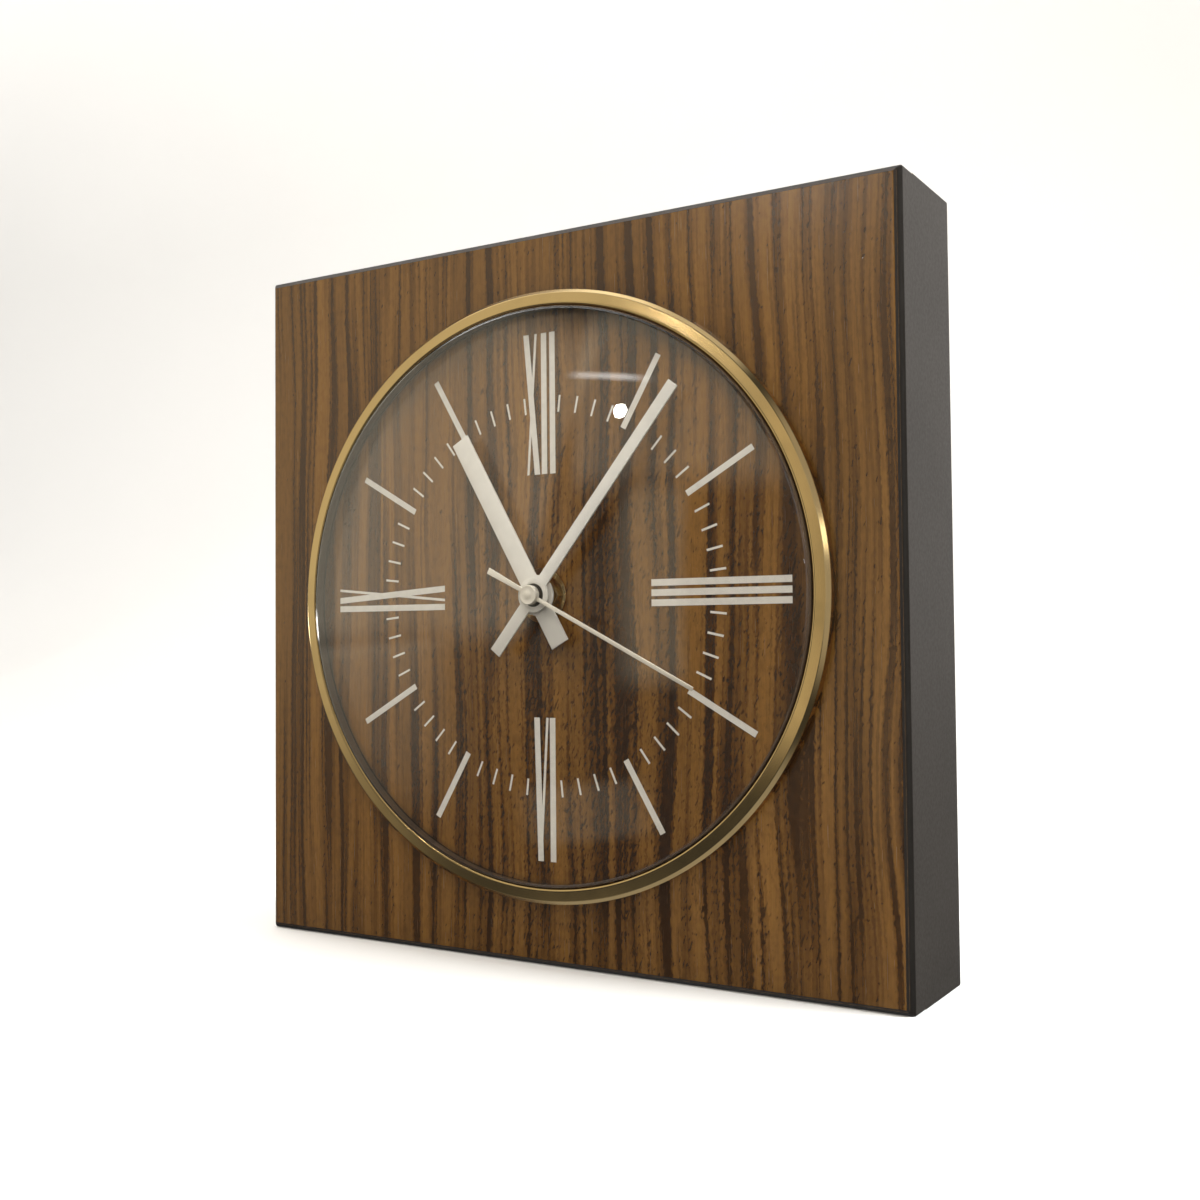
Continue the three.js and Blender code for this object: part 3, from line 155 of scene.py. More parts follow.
class ClockBezel(bpy.types.PropertyGroup):
    """Folded brass ring round the lens"""

    brass: colour("Brass", "Polished brass", (0.79, 0.585, 0.285))
    roughness: share("Roughness", "Roughness of the polish", 0.14)
    radius: length("Radius", "Outer radius", 0.08405)
    width: length("Width", "Width from outer wall to lip", 0.00445)
    height: length("Height", "Height of the face over the veneer", 0.004)
    wall: length("Wall", "Thickness of the sheet", 0.0008)
    shoulder: length("Shoulder", "Size of the chamfered outer edge", 0.00105)
    lean: angle("Lean", "How far the face leans outwards", 4.5)
    lip_roll: length("Lip roll", "Width over which the lip is rolled in", 0.0008)
    steps: IntProperty(name="Steps", description="Facets round the ring", default=256, min=24)
    tabs: IntProperty(name="Tabs", description="Tabs that are bent over behind the board", default=4, min=1)
    tab_width: length("Tab width", "Width of a tab", 0.006)
    tab_sheet: length("Tab thickness", "Thickness of a tab", 0.0005)
    tab_fold: length("Tab fold", "Length that is bent over", 0.005)


class ClockLens(bpy.types.PropertyGroup):
    """Domed lens and its seal"""

    height: length("Height", "Height of the dome over the veneer", -front_of("lens"))
    wall: length("Wall", "Thickness of the lens", 0.0005)
    rim: length("Rim radius", "Radius of the straight rim", 0.0794)
    flange: length("Flange radius", "Radius of the flange under the bezel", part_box("lens")[1].x)
    foot: length("Foot", "Gap between veneer and lens", 0.0002)
    straight: length("Straight rim", "Height at which the rim begins to curve", 0.0038)
    shoulder: length("Shoulder", "Radius of the curve from rim to dome", 0.0014)
    sweep: angle("Shoulder sweep", "How far the shoulder turns", 80)
    refraction: FloatProperty(name="Refraction", description="Refractive index", default=1.6, min=1, max=2)
    steps: IntProperty(name="Steps", description="Facets round the lens", default=192, min=24)
    # The seal colour also coats the lens's outer shoulder past this lean, as painted shade for the dark line inside
    # the bezel's lip.
    painted_shade_lean: angle("Seal lean", "How far the shoulder leans where the seal ends on it", 47)
    seal: colour("Seal", "Brown seal under the bezel", (0.06, 0.036, 0.018))


class ClockHands(bpy.types.PropertyGroup):
    """Hour, minute and second hands"""

    paint: colour("Paint", "Off-white paint of the hour and minute hands", (0.82, 0.79, 0.72))
    cream: colour("Cream", "Cream paint of the second hand", (0.83, 0.775, 0.66))
    # Painted shade: the near-black pipe end stands in for the shadow in the hollow of the minute hand's hub.
    pipe_end: colour("Pipe end", "Dark end of the pipe in the minute hand's hub", (0.03, 0.024, 0.018))
    sheet: length("Sheet", "Thickness of the hands", 0.0005)
    edge: length("Edge", "Rounding of the stamped edges", 0.00012)
    hour_angle: angle("Hour angle", "Where the hour hand points, clockwise from twelve", 330.5)
    hour_length: length("Hour length", "From the centre to the tip", 0.0512)
    hour_tail: length("Hour tail", "From the centre to the tail's end", 0.0155)
    hour_width: length("Hour width", "Width of the hour hand", 0.0058)
    hour_hub: length("Hour hub", "Radius of the hour hand's hub", 0.0056)
    minute_angle: angle("Minute angle", "Where the minute hand points, clockwise from twelve", 38.7)
    minute_length: length("Minute length", "From the centre to the tip", 0.069)
    minute_tail: length("Minute tail", "From the centre to the tail's end", 0.0202)
    minute_tip: length("Minute tip", "Width at the tip", 0.0032)
    minute_end: length("Minute end", "Width at the tail's end", 0.0036)
    minute_hub: length("Minute hub", "Radius of the minute hand's hub", 0.0048)
    second_angle: angle("Second angle", "Where the second hand points, clockwise from twelve", 117.2)
    second_length: length("Second length", "From the centre to the tip", 0.0545)
    second_tail: length("Second tail", "From the centre to the tail's end", 0.0155)
    second_width: length("Second width", "Width of the second hand", 0.0011)
    second_end: length("Second end", "Width of the second hand's tail", 0.0018)
    boss: length("Boss", "Radius of the second hand's boss", 0.00265)


class ClockMovement(bpy.types.PropertyGroup):
    """Battery movement, cell, knob and hanger"""

    plastic: colour("Housing", "Black housing", (0.017, 0.017, 0.018))
    gear: colour("Wheels", "Pale moulded wheels", (0.78, 0.75, 0.68))
    steel: colour("Steel", "Plated steel", (0.56, 0.56, 0.55))
    magnet: colour("Magnet", "Sintered magnet", (0.09, 0.088, 0.09))
    wire: colour("Wire", "Enamelled copper wire", (0.52, 0.2, 0.08))
    mask: colour("Solder mask", "Circuit board's lacquer", (0.03, 0.12, 0.05))
    jacket: colour("Cell jacket", "Plain jacket of the cell", (0.03, 0.045, 0.075))
    band: colour("Cell band", "Band at the cell's positive end", (0.5, 0.29, 0.12))
    rubber: colour("Rubber", "Rubber washer", (0.02, 0.018, 0.017))
    edge: length("Edge", "Rounding of moulded edges", 0.00035)
    screw_radius: length("Screw radius", "Radius of the housing's screw heads", 0.0019)
    screw_height: length("Screw height", "Height of the screw heads", 0.0009)
    screw_seed: IntProperty(name="Screw seed", description="How the screws happen to be turned", default=7)
    ribs: IntProperty(name="Knob ribs", description="Ribs round the setting knob", default=36, min=6)


class ClockStage(bpy.types.PropertyGroup):
    """Floor, light and camera"""

    floor: colour("Floor", "Pale floor and backdrop", (0.86, 0.85, 0.83))
    camera_place: place("Camera place", "Where the camera stands", (0.207752, -0.342283, 0.089499))
    camera_turn: FloatVectorProperty(
        name="Camera turn",
        description="The camera's angles",
        default=(1.605339, 0.006739, 0.582077),
        subtype="EULER",
        unit="ROTATION",
        size=3,
    )
    focal: FloatProperty(name="Focal length", description="Focal length in millimetres", default=42.34, min=1)
    sensor: FloatProperty(name="Sensor", description="Sensor width in millimetres", default=36, min=1)
    shift_x: FloatProperty(name="Shift across", description="Lens shift across", default=0.07)
    shift_y: FloatProperty(name="Shift up", description="Lens shift up", default=-0.0079)
    sky: colour("Room light", "Colour of the room's own light", (1, 0.985, 0.96))
    sky_strength: FloatProperty(name="Room strength", description="Strength of the room's light", default=0.2, min=0)
    sky_gleam: FloatProperty(name="Room gleam", description="The room as gloss shows it", default=0.05, min=0)
    key: power("Key light", "Soft light high above the dial's left", 5.8)
    fill: power("Fill light", "Soft light above the camera", 5.0)
    side: power("Side light", "Light above the case's right side", 3.6)
    wall: power("Wall", "Pale wall on the left, which the brass and the lens show", 4.0)
    high_wall: power("High wall", "Pale wall high in front, which the lens's upper part shows", 0.84)
    far_wall: power("Far wall", "Pale wall low on the left, which the lens's lower left shows", 1.05)
    ground: power("Ground", "Dim ground in front, which the lens's foot shows", 0.1)
    low_wall: power("Low wall", "Pale patch low in front, which the lens shows", 0.36)
    right_wall: power("Right wall", "Pale wall on the right, which the bezel's edge shows", 1.9)
    right_lamp: power("Right lamp", "Lamp on the right, which the bezel's edge shows", 0.45)
    left_wall: power("Left wall", "Pale wall behind the left side, which the bezel's edge shows", 2.3)
    front_room: power("Front room", "Dim room at the front right, which the brass shows from the left", 1.2)
    back_room: power("Back room", "Dim room behind the case, which the metal at the back shows", 1.6)
    left_window: power("Left window", "Small window on the left, which the lens's rim shows", 3.2)
    ceiling: power("Ceiling", "Pale ceiling, which the bezel's edge and lip show", 10.5)
    bounce: power("Bounce", "Pale ground, which the bezel's edge shows from below", 0.92)
    backdrop: power("Backdrop light", "Light on the backdrop", 29)
    lamp: power("Lamp", "Small lamp that shows as a spot on the lens", 0.24)
    tube: power("Tube", "Tube light that shows as a streak on the lens", 0.11)
    spark: power("Spark", "Small lamp that shows at the lens's right edge", 0.08)


# Materials


class Nodes:
    """A node tree under construction."""

    def __init__(self, tree):
        self.tree = tree

    def put(self, socket, value):
        if isinstance(value, bpy.types.NodeSocket):
            self.tree.links.new(value, socket)
        elif socket.type == "RGBA" and len(value) == 3:
            socket.default_value = (*value, 1)
        else:
            socket.default_value = value

    def add(self, kind, inputs=None, **settings):
        node = self.tree.nodes.new(kind)
        for name, value in settings.items():
            setattr(node, name, value)
        for key, value in (inputs or {}).items():
            self.put(node.inputs[key], value)
        return node

    def math(self, operation, a, b=0.0):
        return self.add("ShaderNodeMath", {0: a, 1: b}, operation=operation).outputs[0]

    def ramp(self, value, stops, interpolation="LINEAR"):
        node = self.add("ShaderNodeValToRGB", {"Fac": value})
        node.color_ramp.interpolation = interpolation
        elements = node.color_ramp.elements
        while len(elements) < len(stops):
            elements.new(1)
        for element, (position, shade) in zip(elements, stops):
            element.position = position
            element.color = (*shade, 1)
        return node.outputs["Color"]


class Finish(Nodes):
    """A material under construction: a Principled surface and the nodes that feed it."""

    def __init__(self, name):
        self.material = bpy.data.materials.new(name)
        self.material.use_nodes = True
        super().__init__(self.material.node_tree)
        self.tree.nodes.clear()
        self.output = self.add("ShaderNodeOutputMaterial")
        self.surface = self.add("ShaderNodeBsdfPrincipled")
        self.put(self.output.inputs["Surface"], self.surface.outputs["BSDF"])
        self.coordinates = self.add("ShaderNodeTexCoord").outputs["Object"]

    def set(self, **values):
        """Feeds the surface: names of its inputs with underscores for spaces."""
        for name, value in values.items():
            self.put(self.surface.inputs[name.replace("_", " ")], value)

    def weighed(self, a, b, weight):
        """Two values mixed, the first with that weight and the second with the rest."""
        return self.math("ADD", self.math("MULTIPLY", a, weight), self.math("MULTIPLY", b, 1 - weight))

    def distance(self, across, up):
        squares = self.math("ADD", self.math("MULTIPLY", across, across), self.math("MULTIPLY", up, up))
        return self.math("SQRT", squares)

    def split(self):
        node = self.add("ShaderNodeSeparateXYZ", {0: self.coordinates})
        return node.outputs["X"], node.outputs["Y"], node.outputs["Z"]

    def join(self, x, y, z):
        return self.add("ShaderNodeCombineXYZ", {0: x, 1: y, 2: z}).outputs[0]

    def noise(self, size, detail=2.0, vector=None):
        """Noise whose features have that size along x, y and z."""
        scale = tuple(1 / s for s in size)
        mapped = self.add("ShaderNodeMapping", {"Vector": vector or self.coordinates, "Scale": scale}).outputs[0]
        node = self.add("ShaderNodeTexNoise", {"Vector": mapped, "Scale": 1.0, "Detail": detail})
        return node.outputs["Fac"]

    def between(self, value, low, high, to_low=0.0, to_high=1.0):
        inputs = {"Value": value, "From Min": low, "From Max": high, "To Min": to_low, "To Max": to_high}
        return self.add("ShaderNodeMapRange", inputs).outputs["Result"]

    def blend(self, factor, a, b, mode="MIX"):
        return self.add("ShaderNodeMix", {0: factor, 6: a, 7: b}, data_type="RGBA", blend_type=mode).outputs[2]

    def bump(self, height, depth, strength=1.0):
        inputs = {"Height": height, "Distance": depth, "Strength": strength}
        self.set(Normal=self.add("ShaderNodeBump", inputs).outputs["Normal"])


def tinted(shade, factor):
    return tuple(min(1.0, channel * factor) for channel in shade)


def plain_finish(name, shade, roughness, metal=0.0, patch=0.006, grain=0.0003, depth=0.00001, spread=0.12):
    """A paint, plastic or metal with slight patches of tone, uneven gloss and a fine surface grain."""
    finish = Finish(name)
    patches = finish.noise((patch, patch, patch), 3)
    fine = finish.noise((grain, grain, grain), 2)
    factor = finish.between(patches, 0.3, 0.7)
    finish.set(
        Base_Color=finish.blend(factor, tinted(shade, 1 - spread), tinted(shade, 1 + spread)),
        Roughness=finish.between(fine, 0.3, 0.7, max(0.02, roughness * 0.85), min(1.0, roughness * 1.15)),
        Metallic=metal,
    )
    finish.bump(fine, depth)
    return finish.material


def veneer_finish(wood):
    """Straight-grained veneer: soft dark strips up the panel, ragged and flecked round one middle."""
    finish = Finish("figured_veneer")
    x, y, z = finish.split()

    def over_face(across, up, detail, vector=None):
        """Noise over the panel's face, the same all through the veneer's thickness."""
        return finish.noise((across, 1, up), detail, vector)

    # The flecks crowd round one middle and thin out unevenly.
    middle = DIAL + Vector(wood.fleck_middle)
    aside = finish.math("SUBTRACT", x, middle.x)
    above = finish.math("MULTIPLY", finish.math("SUBTRACT", z, middle.z), 0.55)
    uneven = finish.between(over_face(0.012, 0.035, 2), 0.25, 0.75, -0.02, 0.02)
    away = finish.math("ADD", finish.distance(aside, above), uneven)
    crowd = finish.between(away, 0.015, wood.fleck_spread, 1.0, 0.0)

    # Strips and the finer threads in them follow lines that wander and fray.
    wander = finish.math("SUBTRACT", over_face(0.03, 0.1, 1), 0.5)
    wandering = finish.math("MULTIPLY", wander, wood.strip_wander * 2)
    fray = finish.math("SUBTRACT", over_face(0.0007, 0.0015, 2.5), 0.5)
    ragged = finish.between(crowd, 0.0, 1.0, wood.strip_fray, wood.strip_fray * 2)
    fraying = finish.math("MULTIPLY", fray, ragged)
    line = finish.join(finish.math("ADD", finish.math("ADD", x, wandering), fraying), y, z)
    strips = over_face(wood.strip_size, wood.strip_run, 2, line)
    threads = over_face(wood.strip_size * 0.3, wood.strip_run * 0.5, 1, line)
    figure = finish.weighed(strips, threads, 0.8)
    tones = [(0.41, wood.veneer_dark), (0.47, wood.veneer_mid), (0.54, wood.veneer_light)]
    threaded = finish.between(threads, 0.33, 0.41, 0.4, 0.0)
    toned = finish.blend(threaded, finish.ramp(figure, tones), wood.veneer_dark)

    # Broad bands, fibres and mottling lie over the strips.
    bands = finish.between(over_face(0.01, 0.5, 1), 0.35, 0.65)
    broad = finish.blend(bands, toned, (0.7, 0.68, 0.65), "MULTIPLY")
    calm = finish.blend(finish.between(crowd, 0.0, 0.5, 0.12, 0.0), broad, wood.veneer_mid)
    fibre = over_face(0.00032, 0.016, 3)
    fibred = finish.blend(finish.between(fibre, 0.4, 0.75), calm, (0.76, 0.74, 0.7), "MULTIPLY")
    cloud = finish.between(over_face(0.0011, 0.003, 3, line), 0.45, 0.68)
    mottle = finish.math("MULTIPLY", cloud, finish.between(crowd, 0.0, 0.8, 0.6, 1.0))
    mottled = finish.blend(mottle, fibred, (0.72, 0.69, 0.65), "MULTIPLY")

    # The veneer under the lens is painted paler: painted light that makes up for light the lens holds back.
    rim, soft_edge = bpy.context.scene.clock_lens.rim, 0.002
    radius = finish.distance(x, finish.math("SUBTRACT", z, DIAL.z))
    under = finish.between(radius, rim, rim - soft_edge)
    brightened_under_lens = finish.blend(under, mottled, (wood.lens_painted_light,) * 3, "MULTIPLY")

    # Small and large flecks slant a little and keep to the dark strips.
    slant = finish.join(finish.math("SUBTRACT", x, finish.math("MULTIPLY", z, 0.3)), y, z)
    small = over_face(wood.fleck_width, wood.fleck_run, 1.5, slant)
    large = over_face(wood.fleck_width * 2, wood.fleck_run * 2.2, 2.5, slant)
    beside = finish.between(figure, 0.4, 0.56, 0.09, -0.03)
    crowded = finish.math("ADD", finish.math("MULTIPLY", crowd, 0.09), beside)
    marks = finish.math("ADD", finish.math("MAXIMUM", small, finish.math("SUBTRACT", large, 0.02)), crowded)
    fleck = finish.between(marks, 0.67, 0.73, 0.0, 0.75)
    finish.set(
        Base_Color=finish.blend(fleck, brightened_under_lens, wood.fleck_colour),
        Roughness=finish.between(fibre, 0.3, 0.7, wood.veneer_roughness - 0.05, wood.veneer_roughness + 0.07),
        Specular_IOR_Level=0.9,
    )
    finish.bump(finish.math("SUBTRACT", finish.math("MULTIPLY", fibre, 0.25), fleck), 0.00003, 0.6)
    return finish.material


def bare_wood_finish(name, shade, along):
    """Planed softwood with its grain along x or z."""
    finish = Finish(name)
    run = (0.12, 0.004, 0.0035) if along == "x" else (0.0035, 0.004, 0.12)
    hair = (0.03, 0.0004, 0.0004) if along == "x" else (0.0004, 0.0004, 0.03)
    rings = finish.noise(run, 3)
    fibre = finish.noise(hair, 3)
    grain = finish.weighed(rings, fibre, 0.7)
    finish.set(
        Base_Color=finish.ramp(grain, [(0.36, tinted(shade, 0.55)), (0.5, shade), (0.64, tinted(shade, 1.3))]),
        Roughness=finish.between(fibre, 0.3, 0.7, 0.62, 0.8),
    )
    finish.bump(fibre, 0.00006, 0.5)
    return finish.material


def pressed_board_finish(wood):
    """Pressed board: matted fibres with darker flakes."""
    finish = Finish("pressed_board")
    mat = finish.noise((0.0016, 0.0016, 0.0011), 4)
    flakes = finish.noise((0.005, 0.005, 0.0025), 2)
    shade = finish.ramp(mat, [(0.35, tinted(wood.board_colour, 0.6)), (0.65, tinted(wood.board_colour, 1.35))])
    flake = finish.between(flakes, 0.58, 0.66, 0.0, 0.5)
    finish.set(
        Base_Color=finish.blend(flake, shade, tinted(wood.board_colour, 0.4)),
        Roughness=finish.between(mat, 0.3, 0.7, 0.7, 0.9),
    )
    finish.bump(mat, 0.0001, 0.6)
    return finish.material


def brass_finish(name, shade, roughness):
    """Polished brass with faint turning lines round the dial axis and a little tarnish."""
    finish = Finish(name)
    x, y, z = finish.split()
    radius = finish.distance(x, finish.math("SUBTRACT", z, DIAL.z))
    lines = finish.noise((0.00006, 0.00006, 1), 2, finish.join(radius, y, 0.0))
    tarnish = finish.noise((0.012, 0.012, 0.012), 3)
    finish.set(
        Base_Color=finish.blend(finish.between(tarnish, 0.45, 0.75, 0, 0.35), shade, tinted(shade, 0.72)),
        Roughness=finish.between(tarnish, 0.3, 0.7, roughness * 0.8, roughness * 1.25),
        Metallic=1.0,
    )
    finish.bump(lines, 0.000004, 0.35)
    return finish.material


def lens_finish(lens):
    """Clear lens with a trace of dust. Light from the lamps passes it, so that the dial is lit."""
    finish = Finish("clear_lens")
    dust = finish.noise((0.004, 0.004, 0.004), 4)
    finish.set(
        Base_Color=(1, 1, 1),
        Roughness=finish.between(dust, 0.55, 0.8, 0.0, 0.035),
        IOR=lens.refraction,
        Transmission_Weight=1.0,
    )
    through = finish.add("ShaderNodeBsdfTransparent", {"Color": (0.99, 0.992, 0.99)})
    shadow = finish.add("ShaderNodeLightPath").outputs["Is Shadow Ray"]
    mixed = finish.add(
        "ShaderNodeMixShader", {0: shadow, 1: finish.surface.outputs["BSDF"], 2: through.outputs["BSDF"]}
    )
    finish.put(finish.output.inputs["Surface"], mixed.outputs[0])
    return finish.material


def winding_finish(shade):
    """Fine wire wound side by side along x."""
    finish = Finish("copper_winding")
    wire = 0.00022
    wave = finish.math("SINE", finish.math("MULTIPLY", finish.split()[0], FULL_TURN / wire))
    patches = finish.noise((0.0015, 0.003, 0.003), 2)
    finish.set(
        Base_Color=finish.ramp(patches, [(0.3, tinted(shade, 0.7)), (0.7, tinted(shade, 1.2))]),
        Roughness=finish.between(patches, 0.3, 0.7, 0.25, 0.4),
        Metallic=0.85,
    )
    finish.bump(wave, 0.00004, 0.7)
    return finish.material


def circuit_finish(shade):
    """Solder mask over a few tracks, with tinned pads."""
    finish = Finish("circuit_board")
    x, y, z = finish.split()
    layout = {"Scale": 260.0, "Mortar Size": 0.04, "Brick Width": 0.9, "Row Height": 0.35}
    tracks = finish.add("ShaderNodeTexBrick", {"Vector": finish.join(x, z, y), **layout}).outputs["Fac"]
    pads = finish.between(finish.noise((0.0011, 0.0011, 0.0011), 0), 0.66, 0.68)
    masked = finish.blend(tracks, shade, tinted(shade, 1.9))
    finish.set(
        Base_Color=finish.blend(pads, masked, (0.6, 0.59, 0.56)),
        Metallic=pads,
        Roughness=finish.between(tracks, 0, 1, 0.35, 0.5),
    )
    finish.bump(tracks, 0.00003, 0.5)
    return finish.material


def cell_finish(movement):
    """A plain jacket with a band of another colour at the positive end."""
    finish = Finish("cell_jacket")
    band_start, band_edge = 0.0108, 0.0004
    band = finish.between(finish.split()[0], band_start, band_start + band_edge)
    scuff = finish.noise((0.006, 0.0015, 0.0015), 3)
    worn = finish.blend(finish.between(scuff, 0.6, 0.75, 0, 0.25), movement.jacket, tinted(movement.jacket, 2.5))
    finish.set(
        Base_Color=finish.blend(band, worn, movement.band),
        Roughness=finish.between(scuff, 0.3, 0.7, 0.24, 0.36),
        Metallic=finish.between(band, 0, 1, 0.0, 0.7),
        Coat_Weight=0.4,
        Coat_Roughness=0.12,
    )
    finish.bump(scuff, 0.00002, 0.3)
    return finish.material


# Meshes


def new_object(name, mesh):
    piece = bpy.data.objects.new(name, mesh)
    bpy.context.scene.collection.objects.link(piece)
    return piece


def from_bmesh(name, work):
    mesh = bpy.data.meshes.new(name)
    work.to_mesh(mesh)
    work.free()
    return new_object(name, mesh)


def settle(piece):
    """Turns a piece and its modifiers into a plain mesh."""
    bpy.context.view_layer.update()
    graph = bpy.context.evaluated_depsgraph_get()
    mesh = bpy.data.meshes.new_from_object(piece.evaluated_get(graph))
    if not mesh.polygons:
        raise RuntimeError(f"{piece.name} has no faces")
    old = piece.data
    piece.modifiers.clear()
    piece.data = mesh
    mesh.name = piece.name
    bpy.data.meshes.remove(old)
    return piece


def smooth(piece, limit=35):
    piece.data.shade_smooth()
    piece.data.set_sharp_from_angle(angle=math.radians(limit))
    return piece


def soften(piece, width, segments=3, where=None):
    """Rounds a piece's edges, or those whose middle passes where(middle), and keeps its flats flat."""
    sharp, creased = math.radians(30), math.radians(45)
    work = bmesh.new()
    work.from_mesh(piece.data)
    chosen = []
    for edge in work.edges:
        middle = (edge.verts[0].co + edge.verts[1].co) / 2
        chosen.append(float(edge.calc_face_angle(0) > sharp and (where is None or where(middle))))
    work.free()
    earlier = piece.data.attributes.get("bevel_weight_edge")
    if earlier:
        piece.data.attributes.remove(earlier)
    weights = piece.data.attributes.new("bevel_weight_edge", "FLOAT", "EDGE")
    weights.data.foreach_set("value", chosen)
    bevel = piece.modifiers.new("Edges", "BEVEL")
    bevel.width = width
    bevel.segments = segments
    bevel.limit_method = "WEIGHT"
    piece.data.shade_smooth()
    piece.data.set_sharp_from_angle(angle=creased)
    flats = piece.modifiers.new("Flats", "WEIGHTED_NORMAL")
    flats.keep_sharp = True
    return settle(piece)


def stretch(piece, depth, new_depth):
    """Moves the corners at one depth to another, both counted from the veneer's face."""
    for corner in piece.data.vertices:
        if abs(corner.co.y - DIAL.y - depth) < 10 * TINY:
            corner.co.y = DIAL.y + new_depth
    return piece


def move(piece, matrix):
    piece.data.transform(matrix)
    piece.data.update()
    return piece


def to_dial(piece):
    """Moves a piece that was drawn round the dial axis to the dial's place."""
    return move(piece, Matrix.Translation(DIAL))


def arc(centre, radius, start, end, steps, height=None):
    """Points along an arc, both ends included; with a height it is part of an ellipse."""
    rise = radius if height is None else height
    points = []
    for i in range(steps + 1):
        turn = start + (end - start) * i / steps
        points.append((centre[0] + radius * math.cos(turn), centre[1] + rise * math.sin(turn)))
    return points


def circle(radius, steps):
    return arc((0, 0), radius, 0, FULL_TURN, steps)[:-1]


def thicken(work, faces, way):
    """Gives flat faces a thickness."""
    raised = bmesh.ops.extrude_face_region(work, geom=faces)["geom"]
    corners = [part for part in raised if isinstance(part, bmesh.types.BMVert)]
    bmesh.ops.translate(work, verts=corners, vec=way)


def flatten(work):
    """Merges faces that lie in one plane."""
    bmesh.ops.dissolve_limit(work, angle_limit=math.radians(0.5), verts=work.verts, edges=work.edges)


def plate(name, outline, front, back, holes=()):
    """A flat piece from an outline of (x, z) points and its holes, between two depths."""
    work = bmesh.new()
    edges = []
    for loop in (outline, *holes):
        corners = [work.verts.new((x, front, z)) for x, z in loop]
        edges += [work.edges.new((corners[i - 1], corners[i])) for i in range(len(corners))]
    bmesh.ops.triangle_fill(work, use_beauty=True, edges=edges)
    thicken(work, work.faces[:], (0, back - front, 0))
    flatten(work)
    bmesh.ops.recalc_face_normals(work, faces=work.faces)
    return from_bmesh(name, work)


def solid_copy(node, name):
    """A copy of a packed solid with its triangles merged into flat faces."""
    work = bmesh.new()
    work.from_mesh(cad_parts[node].data)
    bmesh.ops.remove_doubles(work, verts=work.verts, dist=TINY)
    flatten(work)
    piece = from_bmesh(name, work)
    piece.data.materials.clear()
    return piece


def merged(name, pieces):
    """Several objects as one piece."""
    work = bmesh.new()
    for piece in pieces:
        work.from_mesh(piece.data)
        bpy.data.objects.remove(piece)
    return from_bmesh(name, work)


def coat(piece, *materials, choose=None):
    """Gives a piece its materials. choose(middle, normal) gives the number of a face's material."""
    piece.data.materials.clear()
    for material in materials:
        piece.data.materials.append(material)
    for face in piece.data.polygons:
        face.material_index = choose(face.center, face.normal) if choose else 0
    return piece


def fit(piece, body, slot, *nodes):
    """Lets a piece ride on its body and stand for its solids, which it hides; its slot is not used."""
    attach(piece, body)
    if nodes:
        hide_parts(*nodes)
    return piece


# Geometry Nodes


class Tree(Nodes):
    """A Geometry Nodes tree under construction."""

    def __init__(self, name, **sockets):
        super().__init__(bpy.data.node_groups.new(name, "GeometryNodeTree"))
        interface = self.tree.interface
        interface.new_socket(name="Geometry", in_out="INPUT", socket_type="NodeSocketGeometry")
        for label, kind in sockets.items():
            interface.new_socket(name=label.replace("_", " "), in_out="INPUT", socket_type=f"NodeSocket{kind}")
        interface.new_socket(name="Geometry", in_out="OUTPUT", socket_type="NodeSocketGeometry")
        self.given = self.add("NodeGroupInput").outputs
        self.result = self.add("NodeGroupOutput").inputs[0]

    def get(self, kind, inputs=None, output=0):
        return self.add(kind, inputs).outputs[output]

    def turned_by(self, angle):
        """A turn about y."""
        return self.get("FunctionNodeAxisAngleToRotation", {"Axis": (0, 1, 0), "Angle": angle})

    def shape(self):
        return self.get("GeometryNodeObjectInfo", {"Object": self.given["Shape"]}, "Geometry")

    def end(self, geometry):
        real = self.get("GeometryNodeRealizeInstances", {0: geometry})
        coated = self.get("GeometryNodeSetMaterial", {"Geometry": real, "Material": self.given["Material"]})
        self.put(self.result, coated)
        return self.tree


def turned_tree():
    """A profile carried round an axis along y."""
    tree = Tree("turned_on_an_axis", Radius="Float", Steps="Int", Axis="Vector", Merge="Float", Material="Material")
    ring = {"Resolution": tree.given["Steps"], "Radius": tree.given["Radius"]}
    path = tree.get("GeometryNodeCurvePrimitiveCircle", ring)
    profile = tree.get("GeometryNodeMeshToCurve", {0: tree.given["Geometry"]})
    swept = tree.get("GeometryNodeCurveToMesh", {"Curve": path, "Profile Curve": profile})
    closed = tree.get("GeometryNodeMergeByDistance", {"Geometry": swept, "Distance": tree.given["Merge"]})
    upright = {"Geometry": closed, "Rotation": (math.pi / 2, 0, 0), "Translation": tree.given["Axis"]}
    return tree.end(tree.get("GeometryNodeTransform", upright))


def round_tree():
    """A shape repeated round an axis along y, with every so many left out."""
    tree = Tree(
        "round_an_axis", Shape="Object", Count="Int", Start="Float", Left_Out="Int", Axis="Vector", Material="Material"
    )
    points = tree.get("GeometryNodePoints", {"Count": tree.given["Count"], "Position": tree.given["Axis"]})
    index = tree.get("GeometryNodeInputIndex")
    step = tree.math("DIVIDE", FULL_TURN, tree.given["Count"])
    turn = tree.math("ADD", tree.math("MULTIPLY", index, step), tree.given["Start"])
    none_left_out = tree.math("LESS_THAN", tree.given["Left Out"], 2)
    kept = tree.math("MAXIMUM", tree.math("MODULO", index, tree.given["Left Out"]), none_left_out)
    spread = {"Points": points, "Selection": kept, "Instance": tree.shape(), "Rotation": tree.turned_by(turn)}
    return tree.end(tree.get("GeometryNodeInstanceOnPoints", spread))


def scattered_tree():
    """A shape at each of some points, turned by chance about y."""
    tree = Tree("at_points", Shape="Object", Seed="Int", Material="Material")
    chance = tree.get("FunctionNodeRandomValue", {"Seed": tree.given["Seed"], 2: 0.0, 3: FULL_TURN}, 1)
    spread = {"Points": tree.given["Geometry"], "Instance": tree.shape(), "Rotation": tree.turned_by(chance)}
    return tree.end(tree.get("GeometryNodeInstanceOnPoints", spread))


TREES = {"turned": turned_tree, "round": round_tree, "scattered": scattered_tree}
MADE_TREES = {}


